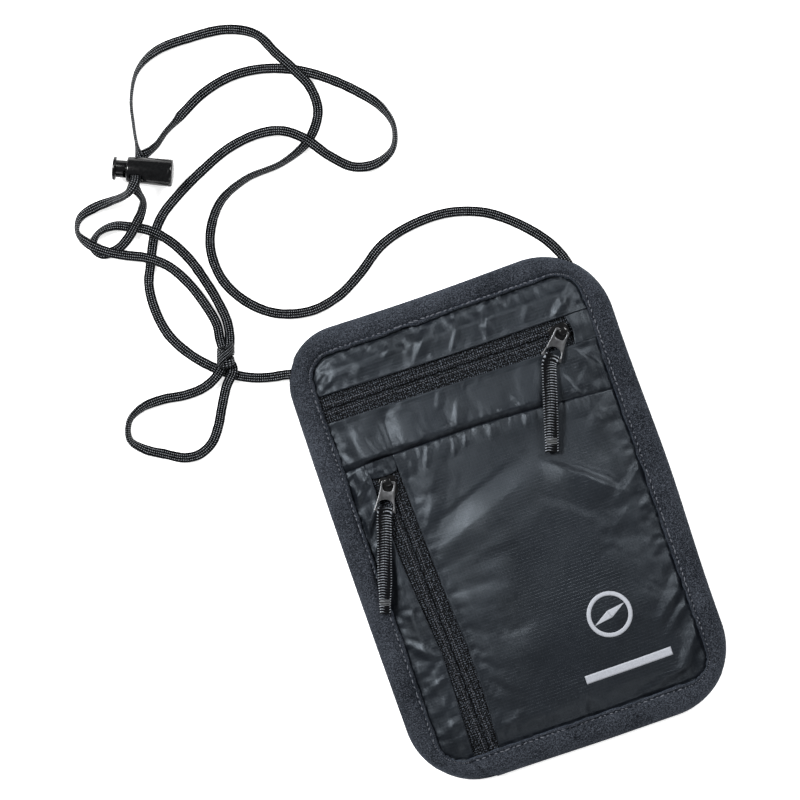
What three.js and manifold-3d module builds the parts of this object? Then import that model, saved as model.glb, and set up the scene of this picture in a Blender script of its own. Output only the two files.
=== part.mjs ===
// A neck pouch wallet lying on its back, with its drawcord loose beside it.
// Millimetres. X runs across the pouch, Y towards its top zip, Z up out of its front.
// The origin is under the middle of the pouch, on the plane it rests on.
import * as THREE from "three";
import { mergeVertices } from "three/addons/utils/BufferGeometryUtils.js";
import Module from "manifold-3d";

const kernel = await Module();
kernel.setup();
const { smoothstep, degToRad } = THREE.MathUtils;

// ---- Pouch outline and edge binding ----
const WIDTH = 125;
const HEIGHT = 180;
const CORNERS = { topLeft: 22, topRight: 28, bottomRight: 27, bottomLeft: 27 };
const WINDOW = { x: 53, y: 80, radius: 9 }; // half sizes of the opening the binding leaves
const BINDING = { thick: 3.8, edge: 0.6, lip: 0.8, web: 1 };
const LAYER_INSET = 1.3; // how far the sewn layers stop short of the outline
const CUTTER = 40; // height of the blocks used for cutting

// ---- Fabric layers, as heights at the sewn edge and how far each rises inside it ----
const BACK = { floor: 0.9, rise: 0, thick: 0.35 };
const DIVIDER = { floor: 1.35, rise: 0, thick: 0.25, top: 44 };
const TAPE = { floor: 1.7, rise: 2.3, thick: 0.3 };
const SHELL = { floor: 2.15, rise: 2.35, thick: 0.35 };
const TAB = { floor: 2.65, rise: 2.4, thick: 0.3 };
const RISE = { from: 2, to: 8.8 }; // distances in from the window over which they rise
const CELL = { x: WINDOW.x / 12, y: WINDOW.y / 18 };
const SEAM_GAP = 0.4;
const PAST = 70; // shapes reach past the pouch's outline, which trims them
const BELOW = -95;
const ABOVE = 95;

// ---- Fullness of the front pocket and of the divider behind it ----
const FULL_FRONT = { height: 4, left: [-31, -15], right: [51, 40], low: [-79, -70], high: [24, 2] };
const FULL_DIVIDER = { height: 4.6, left: [-27, -13], right: [44, 37], low: [-71, -61], high: [20, 6] };

// ---- Zips: u runs along the zip towards its closed end, v across it ----
const TOP_ZIP = { x: 0, y: 60.2, turn: degToRad(-0.7), parked: 41.6, tape: [-70, 70], coil: [-43.6, 43.6] };
const SIDE_ZIP = { x: -37.8, y: 0, turn: degToRad(91.7), parked: 27.9, tape: [-95, 44], coil: [-70.6, 36] };
const CHAIN_GAP = 0.45; // from the middle of the chain to each half
const TAPE_HALF = 8;
const COIL = { width: 1.7, bottom: 2.9, top: 3.9, pitch: 1.9, tooth: 0.4 };
const ZIP_EDGE = 5.4; // from the middle of the chain to the shell's edge

// ---- Slider, pull tab and pull tape ----
const SLIDER = { back: -5.4, nose: 2.4, half: 3.2, narrow: 2.5, low: 1.9, under: 2.7, over: 4.6, top: 5.5 };
const SLIDER_TAPER = { back: 1.4, nose: 1.2 };
const SLIDER_WEB = { half: 0.22, from: -2.2, to: 2.2 };
const CROWN = { half: 0.85, inner: 1.3, outer: 2.1, clear: 7.1, top: 7.9 };
const PIVOT_Z = 6.3;
const PULL = { half: 0.5, narrow: 2.35, neck: 2.95, wide: 4, end: 11.1, far: 10.6 };
const PULL_EYE = { half: 1.6, from: 0.5, to: 3.3 };
const PULL_SLOT = { half: 3.1, from: 6.9, arc: { at: 7.9, half: 2.48 }, to: 10.1 };
const STRAP = { half: 2.7, thick: 1.2, bore: 0.85, eye: 1.2, bend: 4, length: 36 };
const EYE_SIDES = 16;
// The top strap stands up enough to pass over the side zip's slider.
const inRadians = (angles) => Object.fromEntries(Object.entries(angles).map(([k, v]) => [k, degToRad(v)]));
const TOP_PULL = { ...inRadians({ crown: 22.7, tab: 227.7, strap: 25.8, lift: 6.3 }), shift: -0.24 };
const SIDE_PULL = { ...inRadians({ crown: -1.7, tab: 153.3, strap: 6.6, lift: 1.5 }), shift: 0.24 };

// ---- Cord ----
const CORD = { wide: 1.75, shoulder: 1.26, thin: 0.6, edge: 0.36, step: 7 }; // half sizes of its section
const REST = 0.8; // height of the cord's middle where it lies on the ground
const OVER = 2.4; // and where it crosses over another stretch

// ---- Cord lock: a runs along the barrel, the cords pass through at a slant ----
const LOCK = { x: -88.9, y: 168.4, z: 6.2, turn: degToRad(-24), slant: degToRad(45) };
const BARREL = { from: -3.7, to: 13.4, radius: 5, flare: 5.25, bore: 3.6, floor: 12.2, sides: 24 };
const BARREL_EDGE = { mouth: 0.5, base: 1.5 }; // chamfers at its two ends
const BUTTON = { neck: 3.35, flange: 4.5, rim: 4.1, from: -9, bevel: -8.7, shoulder: -7.8, to: 4 };
const HOLE = { half: 2.1, high: 1.6 };
const SLOT = { from: -5, to: 2.2 };
const STACK = 0.66; // half the distance between the two cords in the lock
const PASS = { from: -5.2, to: 7.2 };
const COIL_SPRING = { wire: 0.35, radius: 2.5, from: 4.5, to: 11.7, turns: 4.5, steps: 44 };

const root = new THREE.Group();

// ---- Making solids ----
function solid(geometry) {
  const bare = geometry.clone().deleteAttribute("normal").deleteAttribute("uv");
  const welded = mergeVertices(bare, 1e-4);
  return new kernel.Manifold(
    new kernel.Mesh({
      numProp: 3,
      vertProperties: welded.attributes.position.array,
      triVerts: new Uint32Array(welded.index.array),
    }),
  );
}

function add(name, body, look) {
  const mesh = body.getMesh();
  const geometry = new THREE.BufferGeometry();
  geometry.setAttribute("position", new THREE.BufferAttribute(mesh.vertProperties, 3));
  geometry.setIndex(new THREE.BufferAttribute(mesh.triVerts, 1));
  geometry.computeVertexNormals();
  const made = new THREE.Mesh(geometry, new THREE.MeshStandardMaterial(look));
  made.name = name;
  root.add(made);
}

function polygon(points) {
  return new THREE.Shape(points.map(([x, y]) => new THREE.Vector2(x, y)));
}

function prism(shape, bottom, top) {
  const block = new THREE.ExtrudeGeometry(shape, { depth: top - bottom, bevelEnabled: false });
  return solid(block.translate(0, 0, bottom));
}

function box(from, to) {
  const low = new THREE.Vector3(...from);
  const size = new THREE.Vector3(...to).sub(low);
  const block = new THREE.BoxGeometry(size.x, size.y, size.z);
  block.translate(low.x + size.x / 2, low.y + size.y / 2, low.z + size.z / 2);
  return solid(block);
}

function placed(body, matrix) {
  return body.transform(matrix.elements);
}

// ---- Looks ----
const fabric = (color) => ({ color, roughness: 0.8, metalness: 0 });
const SHELL_LOOK = fabric(0x34383f);
const BINDING_LOOK = fabric(0x1d2026);
const TAPE_LOOK = fabric(0x23262b);
const CORD_LOOK = fabric(0x2c2e33);
const PLASTIC_LOOK = { color: 0x101114, roughness: 0.3, metalness: 0 };
const METAL_LOOK = { color: 0x5b5d62, roughness: 0.35, metalness: 0.9 };
const SLIDER_LOOK = { color: 0x15161a, roughness: 0.3, metalness: 0.6 };
const PRINT_LOOK = { color: 0xd6d9e0, roughness: 0.4, metalness: 0.2 };

// ---- Pouch outline ----
function roundedRectangle(x, y, { topLeft, topRight, bottomRight, bottomLeft }) {
  const shape = new THREE.Shape();
  const quarter = Math.PI / 2;
  shape.absarc(x - bottomRight, bottomRight - y, bottomRight, -quarter, 0);
  shape.absarc(x - topRight, y - topRight, topRight, 0, quarter);
  shape.absarc(topLeft - x, y - topLeft, topLeft, quarter, 2 * quarter);
  shape.absarc(bottomLeft - x, bottomLeft - y, bottomLeft, 2 * quarter, 3 * quarter);
  return shape;
}

function outline(inset) {
  const radii = Object.entries(CORNERS).map(([corner, radius]) => [corner, radius - inset]);
  return roundedRectangle(WIDTH / 2 - inset, HEIGHT / 2 - inset, Object.fromEntries(radii));
}

function windowShape(grow) {
  const radius = WINDOW.radius + grow;
  const radii = { topLeft: radius, topRight: radius, bottomRight: radius, bottomLeft: radius };
  return roundedRectangle(WINDOW.x + grow, WINDOW.y + grow, radii);
}

// Distance in from the window's edge, negative under the binding.
function inside(x, y) {
  const dx = Math.abs(x) - WINDOW.x + WINDOW.radius;
  const dy = Math.abs(y) - WINDOW.y + WINDOW.radius;
  return WINDOW.radius - Math.hypot(Math.max(dx, 0), Math.max(dy, 0)) - Math.min(Math.max(dx, dy), 0);
}

function fullness(x, y, { height, left, right, low, high }) {
  const across = smoothstep(x, ...left) * (1 - smoothstep(x, right[1], right[0]));
  const along = smoothstep(y, ...low) * (1 - smoothstep(y, high[1], high[0]));
  return height * across * along;
}

const lying = (layer) => (x, y) => layer.floor + layer.rise * smoothstep(inside(x, y), RISE.from, RISE.to);
const frontHeight = (x, y) => lying(SHELL)(x, y) + fullness(x, y, FULL_FRONT);
const dividerHeight = (x, y) => DIVIDER.floor + fullness(x, y, FULL_DIVIDER);

// A sheet of the given thickness whose underside follows a height, trimmed to a shape and to the pouch.
const pouchBlock = prism(outline(LAYER_INSET), 0, CUTTER);
function sheet(shape, under, thick) {
  const reach = new THREE.Box2().setFromPoints(shape.getPoints());
  const low = [Math.floor(reach.min.x / CELL.x), Math.floor(reach.min.y / CELL.y)];
  const cells = [Math.ceil(reach.max.x / CELL.x) - low[0], Math.ceil(reach.max.y / CELL.y) - low[1]];
  const size = [cells[0] * CELL.x, cells[1] * CELL.y];
  const blank = new THREE.BoxGeometry(...size, thick, ...cells, 1);
  blank.translate(low[0] * CELL.x + size[0] / 2, low[1] * CELL.y + size[1] / 2, thick / 2);
  const at = blank.attributes.position;
  for (let i = 0; i < at.count; i += 1) {
    at.setZ(i, at.getZ(i) + under(at.getX(i), at.getY(i)));
  }
  return solid(blank).intersect(prism(shape, 0, CUTTER)).intersect(pouchBlock);
}

// ---- Back panel and divider ----
add("back_panel", prism(outline(LAYER_INSET), BACK.floor, BACK.floor + BACK.thick), SHELL_LOOK);
const dividerShape = polygon([[-PAST, BELOW], [PAST, BELOW], [PAST, DIVIDER.top], [-PAST, DIVIDER.top]]);
add("inner_divider", sheet(dividerShape, dividerHeight, DIVIDER.thick), fabric(0x202328));

// ---- Front panels, divided by the zips and by the cross seam ----
const CROSS_SEAM = [[-PAST, 35.9], [-33, 37], [0, 37], [20, 36], [40, 34.5], [PAST, 32]];
const ZIP_SIDE = { left: [[-43.9, 36.2], [-44, 0], [-40.6, -40], [-41, -60], [-42.2, -95]] };
ZIP_SIDE.right = [[-33.4, 36.5], [-32.6, 0], [-30.5, -40], [-30.5, -60], [-32, -95]];
const TOP_BAND = {
  upper: [[-PAST, 66.6], [0, 65], [PAST, 65]],
  lower: [[-PAST, 55.7], [0, 54.4], [PAST, 53.3]],
};

const topPanel = polygon([...TOP_BAND.upper, [PAST, ABOVE], [-PAST, ABOVE]]);
const yokePanel = polygon([...CROSS_SEAM, ...[...TOP_BAND.lower].reverse()]);
const seamBelow = CROSS_SEAM.map(([x, y]) => [x, y - SEAM_GAP]);
const sidePanel = polygon([[-PAST, BELOW], ...[...ZIP_SIDE.left].reverse(), seamBelow[0]]);
const mainPanel = polygon([...ZIP_SIDE.right, [PAST, BELOW], ...seamBelow.slice(1).reverse()]);
const shells = { top: topPanel, yoke: yokePanel, side: sidePanel, main: mainPanel };
for (const [place, shape] of Object.entries(shells)) {
  const under = place === "yoke" ? lying(SHELL) : frontHeight;
  add(`front_${place}_panel`, sheet(shape, under, SHELL.thick), SHELL_LOOK);
}

// ---- Edge binding: a folded band round the layers, with a notch where each end of the cord is sewn in ----
const ANCHOR = { half: 2.2, inner: -1, outer: 1.1, bottom: 1, top: 2.4, clear: 0.3 };
const ANCHORS = {
  right: { x: 34.5, y: 62, radius: CORNERS.topRight, turn: Math.atan2(22.2, 18) },
  left: { x: -40.5, y: 68, radius: CORNERS.topLeft, turn: Math.atan2(8.7, -18.7) },
};

function anchorBlock({ x, y, radius, turn }, clear) {
  const from = [radius + ANCHOR.inner - clear, -ANCHOR.half - clear, ANCHOR.bottom - clear];
  const to = [radius + ANCHOR.outer + clear, ANCHOR.half + clear, ANCHOR.top + clear];
  const matrix = new THREE.Matrix4().makeRotationZ(turn).setPosition(x, y, 0);
  return placed(box(from, to), matrix);
}

const bandShape = outline(BINDING.edge);
bandShape.holes.push(windowShape(BINDING.edge));
const bandBlank = new THREE.ExtrudeGeometry(bandShape, {
  depth: BINDING.thick - 2 * BINDING.edge,
  bevelSize: BINDING.edge,
  bevelThickness: BINDING.edge,
  bevelSegments: 2,
});
bandBlank.translate(0, 0, BINDING.edge);
const groove = prism(outline(BINDING.web), BINDING.lip, BINDING.thick - BINDING.lip);
let binding = solid(bandBlank).subtract(groove);
for (const [side, anchor] of Object.entries(ANCHORS)) {
  binding = binding.subtract(anchorBlock(anchor, ANCHOR.clear));
  add(`cord_anchor_${side}`, anchorBlock(anchor, 0), BINDING_LOOK);
}
add("edge_binding", binding, BINDING_LOOK);

// ---- Tabs that finish the zip ends, and the reflective mark ----
const tabHeight = lying(TAB);
const endTab = polygon([[44.5, 53.9], [PAST, 53.6], [PAST, 64.6], [44.5, 64.6]]);
add("top_zip_end_tab", sheet(endTab, tabHeight, TAB.thick), SHELL_LOOK);
const garageTab = polygon([[-44.5, 31], [-34, 31], [-34, 36.3], [-44.5, 36.1]]);
add("side_zip_garage_tab", sheet(garageTab, tabHeight, TAB.thick), SHELL_LOOK);

const MARK = { x: 23.3, y: -45.5, outer: 8.6, inner: 6.9 };
const NEEDLE = [[7.2, 2.16], [0.3, -1.8], [-7.2, -2.16], [-0.3, 1.8]];
const BAR = { left: 7, right: 41, low: -68, high: -64.5 };
const PRINT = { gap: 0.1, thick: 0.15 };
const printBottom = frontHeight(MARK.x, MARK.y) + SHELL.thick + PRINT.gap;
const markRing = new THREE.Shape().absarc(MARK.x, MARK.y, MARK.outer, 0, 2 * Math.PI);
markRing.holes.push(new THREE.Path().absarc(MARK.x, MARK.y, MARK.inner, 0, 2 * Math.PI, true));
const markNeedle = polygon(NEEDLE.map(([x, y]) => [MARK.x + x, MARK.y + y]).reverse());
const printLayer = (shape) => prism(shape, printBottom, printBottom + PRINT.thick);
add("reflective_mark", printLayer(markRing).add(printLayer(markNeedle)), PRINT_LOOK);
const { left, right, low, high } = BAR;
const barShape = polygon([[left, low], [right, low], [right, high], [left, high]]);
add("reflective_bar", printLayer(barShape), PRINT_LOOK);

// ---- Zips ----
function zipPoint(zip, u, v) {
  const [c, s] = [Math.cos(zip.turn), Math.sin(zip.turn)];
  return [zip.x + u * c - v * s, zip.y + u * s + v * c];
}

function coilShape(zip, side) {
  const [from, to] = zip.coil;
  const teeth = Math.floor((to - from) / COIL.pitch);
  const points = [[from, COIL.width], [from, 0]];
  for (let i = 0; i < teeth; i += 1) {
    const u = from + i * COIL.pitch;
    points.push([u + COIL.pitch * 0.5, 0], [u + COIL.pitch * 0.75, COIL.tooth], [u + COIL.pitch, 0]);
  }
  points.push([from + teeth * COIL.pitch, COIL.width]);
  return polygon(points.map(([u, v]) => zipPoint(zip, u, side * (CHAIN_GAP + v))));
}

function sliderFrame(zip) {
  const [x, y] = zipPoint(zip, zip.slider, 0);
  return new THREE.Matrix4().makeRotationZ(zip.turn).setPosition(x, y, 0);
}

function sliderBody(pull) {
  const plan = polygon([
    [SLIDER.back, -SLIDER.narrow], [SLIDER.back + SLIDER_TAPER.back, -SLIDER.half],
    [SLIDER.nose - SLIDER_TAPER.nose, -SLIDER.half], [SLIDER.nose, -SLIDER.narrow],
    [SLIDER.nose, SLIDER.narrow], [SLIDER.nose - SLIDER_TAPER.nose, SLIDER.half],
    [SLIDER.back + SLIDER_TAPER.back, SLIDER.half], [SLIDER.back, SLIDER.narrow],
  ]);
  const plates = prism(plan, SLIDER.low, SLIDER.under).add(prism(plan, SLIDER.over, SLIDER.top));
  const { half, from, to } = SLIDER_WEB;
  const web = box([from, -half, SLIDER.low], [to, half, SLIDER.top]);
  const arch = box([-CROWN.outer, -CROWN.half, SLIDER.over], [CROWN.outer, CROWN.half, CROWN.top]);
  const eye = box([-CROWN.inner, -2 * CROWN.half, SLIDER.top], [CROWN.inner, 2 * CROWN.half, CROWN.clear]);
  const crown = placed(arch.subtract(eye), new THREE.Matrix4().makeRotationZ(pull.crown));
  return plates.add(web).add(crown);
}

function pullTab({ shift }) {
  const { half, narrow, neck, wide, end } = PULL;
  const plan = polygon([
    [-half, shift - narrow], [PULL_SLOT.from, shift - neck], [end, -wide],
    [end, wide], [PULL_SLOT.from, shift + neck], [-half, shift + narrow],
  ]);
  const eye = box(
    [PULL_EYE.from, shift - PULL_EYE.half, 0],
    [PULL_EYE.to, shift + PULL_EYE.half, CUTTER],
  );
  const { arc } = PULL_SLOT;
  const slot = polygon([
    [PULL_SLOT.to, -PULL_SLOT.half], [PULL_SLOT.to, PULL_SLOT.half], [arc.at, arc.half],
    [PULL_SLOT.from, 0], [arc.at, -arc.half],
  ]);
  return prism(plan, PIVOT_Z - half, PIVOT_Z + half).subtract(eye).subtract(prism(slot, 0, CUTTER));
}

function pullStrap(pull) {
  const [c, s] = [Math.cos(pull.strap), Math.sin(pull.strap)];
  const along = (r, w) => [r * c - w * s, r * s + w * c];
  const { half, thick, bore, eye, bend, length } = STRAP;
  const plan = polygon([
    [0, -half], along(bend, -half), along(length, -half), along(length, half), along(bend, half), [0, half],
  ]);
  const across = (radius, reach) => solid(new THREE.CylinderGeometry(radius, radius, 2 * reach, EYE_SIDES));
  const flat = prism(plan, -thick / 2, thick / 2);
  const body = flat.add(across(eye, half)).subtract(across(bore, 2 * half));
  const matrix = new THREE.Matrix4().makeRotationY(-pull.lift).setPosition(PULL.far, 0, PIVOT_Z);
  return placed(body, matrix);
}

function zipParts(name, zip, pull, sides) {
  const frame = sliderFrame({ ...zip, slider: zip.parked });
  const turned = frame.clone().multiply(new THREE.Matrix4().makeRotationZ(pull.tab));
  sides.forEach((side, i) => {
    const sign = 1 - 2 * i;
    const [from, to] = zip.tape;
    const corners = [[from, CHAIN_GAP], [to, CHAIN_GAP], [to, TAPE_HALF], [from, TAPE_HALF]];
    const tape = polygon(corners.map(([u, v]) => zipPoint(zip, u, sign * v)));
    add(`${name}_tape_${side}`, sheet(tape, lying(TAPE), TAPE.thick), TAPE_LOOK);
    add(`${name}_coil_${side}`, prism(coilShape(zip, sign), COIL.bottom, COIL.top), PLASTIC_LOOK);
  });
  add(`${name}_slider`, placed(sliderBody(pull), frame), SLIDER_LOOK);
  add(`${name}_pull_tab`, placed(pullTab(pull), turned), METAL_LOOK);
  add(`${name}_pull_strap`, placed(pullStrap(pull), turned), TAPE_LOOK);
}

zipParts("top_zip", TOP_ZIP, TOP_PULL, ["upper", "lower"]);
zipParts("side_zip", SIDE_ZIP, SIDE_PULL, ["left", "right"]);

// ---- Cord: the right-hand run, the left-hand run, two tails and the end loop ----
const RIGHT_RUN = [
  [54.1, 86.3, 1.5], [50.6, 92.3, 1.1], [43.3, 99.5], [30, 110.6], [15, 115.9], [0, 115.7], [-12, 112.3],
  [-23, 105], [-33, 99.8], [-45, 97.8], [-58, 101.5], [-67.5, 110], [-72.8, 121], [-72.3, 134.5],
  [-64.2, 147], [-52, 152.4], [-36.7, 153.7], [-25, 158.5], [-18, 167.5, 1.2], [-17.8, 177, OVER],
  [-21, 184.5, OVER], [-25.8, 193.5, 1.9], [-30.5, 202.5], [-40, 207.8], [-54, 209.5], [-68, 208.8],
  [-77, 204], [-82.5, 195], [-85, 185], [-86.1, 178.6, 1.6], [-86.9, 173.2, 2.7],
];
const LEFT_RUN = [
  [-62.5, 78.4, 1.4], [-67, 79.2, 1.1], [-73.3, 81.1], [-80, 84.6], [-86.7, 90], [-93.3, 97.5],
  [-98.3, 106.7],
  [-100, 116.7], [-99.2, 126.7], [-95.8, 134.5], [-91, 144], [-86, 149.8], [-77, 155.6], [-66, 161],
  [-54, 165.6], [-42, 167, 1], [-33, 165, OVER], [-26, 159.5, OVER], [-19.5, 150.5, OVER], [-12, 143.6, 1],
  [-3.3, 142], [4, 145.3], [7, 153], [4.7, 161.7], [-2, 170.3], [-11, 178.6], [-21, 185.2],
  [-33, 189.7], [-45, 190.7], [-57, 188], [-67.5, 182.8], [-74.5, 178.8], [-79, 175.4],
  [-83.4, 173.6, 0.8], [-86.2, 173.2, 1.1], [-87.2, 172.3, 1.3],
];
const TAIL_ONE = [
  [-80.6, 98.8, 1.7], [-79.9, 104.5, 1.7], [-81.7, 113.3, 0.8], [-85, 122.8], [-90, 131.2, 1.6],
  [-96.5, 136.6, 2.7],
  [-104, 140.3, OVER], [-110.3, 144, OVER], [-115.6, 149, OVER], [-117.9, 154.2, 1.8], [-115.3, 158.9, 1],
  [-109, 160.9, 1.2], [-102.5, 160.9, 3.6], [-96.8, 160.6, 9.4], [-93.4, 161.3, 12.7], [-91.1, 163.5, 12.9],
];
const TAIL_TWO = [
  [-76.8, 98.8, 1.7], [-75.9, 104.5, 1.7], [-76.7, 112, 0.8], [-78.6, 121], [-81.7, 131.2], [-86.5, 140, 1.4],
  [-92, 145.8, OVER], [-98, 149.4, 1.4], [-104.5, 152], [-110.8, 151.2], [-114.1, 147.5], [-112, 143.6],
  [-106, 143.4], [-101, 145.8, 1.5], [-96.5, 149.4, 3.2], [-92.4, 153.6, 4.6], [-90.2, 157.6, 7.4],
  [-90.9, 160.6, 10.4], [-91.5, 162.2, 11.3],
];
const END_LOOP = [
  [-79.6, 86.6, 2.6], [-84, 81.4, OVER], [-88.3, 74.6, 0.9], [-91.9, 68.3], [-96.2, 63.2], [-101.7, 60.7],
  [-107.5, 61.2], [-114.2, 65], [-120.8, 69.2], [-124.8, 74.4], [-122.6, 81], [-116.7, 84.2], [-108.3, 84.6],
  [-100, 83.4], [-93, 83.6, 1.2], [-88, 85.2, OVER], [-83.8, 88.2, 2.6],
];

// The flat braid's section, [across, through its thickness].
const BRAID = [
  [-CORD.shoulder, CORD.thin], [CORD.shoulder, CORD.thin], [CORD.wide, CORD.edge], [CORD.wide, -CORD.edge],
  [CORD.shoulder, -CORD.thin], [-CORD.shoulder, -CORD.thin],
  [-CORD.wide, -CORD.edge], [-CORD.wide, CORD.edge],
];
const cordSection = polygon(BRAID.map(([across, through]) => [through, across]));

function swept(section, curve, steps) {
  return solid(new THREE.ExtrudeGeometry(section, { steps, extrudePath: curve }));
}

function cordStretch(name, route) {
  const points = route.map(([x, y, z = REST]) => new THREE.Vector3(x, y, z));
  const curve = new THREE.CatmullRomCurve3(points, false, "centripetal");
  add(name, swept(cordSection, curve, Math.round(curve.getLength() / CORD.step)), CORD_LOOK);
}

const stretches = {
  right_run: RIGHT_RUN,
  left_run: LEFT_RUN,
  tail_one: TAIL_ONE,
  tail_two: TAIL_TWO,
  end_loop: END_LOOP,
};
for (const [name, route] of Object.entries(stretches)) {
  cordStretch(`cord_${name}`, route);
}

// ---- Knot that joins the two tails and starts the end loop ----
const KNOT = { x: -80.4, y: 92.6, z: 3.5, turn: degToRad(-104), sides: 14 };
const KNOT_PROFILE = [
  [0, -4.8], [1.9, -4.4], [2.8, -2.28], [2.5, -0.6], [3.3, 0.7], [2.9, 2.28], [1.8, 4.3], [0, 4.7],
];
const knotBody = new THREE.LatheGeometry(KNOT_PROFILE.map(([r, y]) => new THREE.Vector2(r, y)), KNOT.sides);
knotBody.rotateZ(-Math.PI / 2);
const knotFrame = new THREE.Matrix4().makeRotationZ(KNOT.turn).setPosition(KNOT.x, KNOT.y, KNOT.z);
add("cord_knot", placed(solid(knotBody), knotFrame), CORD_LOOK);

// ---- Cord lock ----
const lockFrame = new THREE.Matrix4().makeRotationZ(LOCK.turn).setPosition(LOCK.x, LOCK.y, LOCK.z);
// Local x runs along the barrel; the slanted frame's local z runs along the cords, local y is their stack.
const slanted = lockFrame.clone().multiply(new THREE.Matrix4().makeRotationX(LOCK.slant));

function turnedAboutBarrel(profile) {
  const lathe = new THREE.LatheGeometry(profile.map(([a, r]) => new THREE.Vector2(r, -a)), BARREL.sides);
  return solid(lathe.rotateZ(Math.PI / 2));
}

const { mouth, base } = BARREL_EDGE;
const barrelBody = turnedAboutBarrel([
  [BARREL.to, 0], [BARREL.to, BARREL.flare - base], [BARREL.to - base, BARREL.flare],
  [BARREL.from + mouth, BARREL.radius], [BARREL.from, BARREL.radius - mouth],
  [BARREL.from, BARREL.bore], [BARREL.floor, BARREL.bore], [BARREL.floor, 0],
]);
const buttonBody = turnedAboutBarrel([
  [BUTTON.to, 0], [BUTTON.to, BUTTON.neck], [BUTTON.shoulder, BUTTON.neck], [BUTTON.shoulder, BUTTON.flange],
  [BUTTON.bevel, BUTTON.flange], [BUTTON.from, BUTTON.rim], [BUTTON.from, 0],
]);
const through = (from, to) => box([from, -HOLE.high, -CUTTER], [to, HOLE.high, CUTTER]);
const slantOnly = new THREE.Matrix4().makeRotationX(LOCK.slant);
const barrelHole = placed(through(-HOLE.half, HOLE.half), slantOnly);
const buttonHole = placed(through(SLOT.from, SLOT.to), slantOnly);
add("cord_lock_barrel", placed(barrelBody.subtract(barrelHole), lockFrame), PLASTIC_LOOK);
add("cord_lock_button", placed(buttonBody.subtract(buttonHole), lockFrame), PLASTIC_LOOK);

class Helix extends THREE.Curve {
  getPoint(t) {
    const angle = 2 * Math.PI * COIL_SPRING.turns * t;
    const a = COIL_SPRING.from + (COIL_SPRING.to - COIL_SPRING.from) * t;
    return new THREE.Vector3(a, COIL_SPRING.radius * Math.cos(angle), COIL_SPRING.radius * Math.sin(angle));
  }
}
const wire = new THREE.Shape(new THREE.Path().absarc(0, 0, COIL_SPRING.wire, 0, 2 * Math.PI).getPoints(2));
add("cord_lock_spring", placed(swept(wire, new Helix(), COIL_SPRING.steps), lockFrame), METAL_LOOK);

["upper", "lower"].forEach((place, i) => {
  const offset = (1 - 2 * i) * STACK;
  const strand = polygon(BRAID.map(([across, through]) => [across, offset + through]).reverse());
  add(`cord_pass_${place}`, placed(prism(strand, PASS.from, PASS.to), slanted), CORD_LOOK);
});

export default root;
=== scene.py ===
import math

import bmesh
import bpy
import numpy as np
from mathutils import Matrix, Vector, noise
from mathutils.bvhtree import BVHTree


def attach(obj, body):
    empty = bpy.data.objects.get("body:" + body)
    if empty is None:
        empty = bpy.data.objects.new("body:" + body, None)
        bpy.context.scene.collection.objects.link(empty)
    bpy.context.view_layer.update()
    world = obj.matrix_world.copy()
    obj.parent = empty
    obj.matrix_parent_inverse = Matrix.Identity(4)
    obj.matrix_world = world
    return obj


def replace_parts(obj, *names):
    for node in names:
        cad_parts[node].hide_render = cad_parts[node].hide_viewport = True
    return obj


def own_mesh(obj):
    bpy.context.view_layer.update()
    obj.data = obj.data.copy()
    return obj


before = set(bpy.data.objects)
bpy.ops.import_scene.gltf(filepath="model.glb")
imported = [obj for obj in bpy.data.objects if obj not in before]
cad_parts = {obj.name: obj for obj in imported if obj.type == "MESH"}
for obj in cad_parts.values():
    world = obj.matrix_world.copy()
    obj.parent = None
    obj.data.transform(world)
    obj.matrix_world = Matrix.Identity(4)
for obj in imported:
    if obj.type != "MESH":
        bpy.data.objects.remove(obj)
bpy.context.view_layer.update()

MM = 0.001
TURN = math.radians(-19.1)  # the camera's roll about the upright


def link(name, data):
    """A new object in the scene."""
    made = bpy.data.objects.new(name, data)
    bpy.context.collection.objects.link(made)
    return made


# ------------------------------------------------------------------ camera
camera = link("camera", bpy.data.cameras.new("camera"))
camera.data.lens = 120.6
camera.data.sensor_width = 36
camera.data.clip_start = 0.05
camera.data.clip_end = 20
camera.location = (-0.0243, 0.0553, 1.006)
camera.rotation_euler = (0, 0, TURN)
bpy.context.scene.camera = camera

# ------------------------------------------------------------------ node helpers


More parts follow.
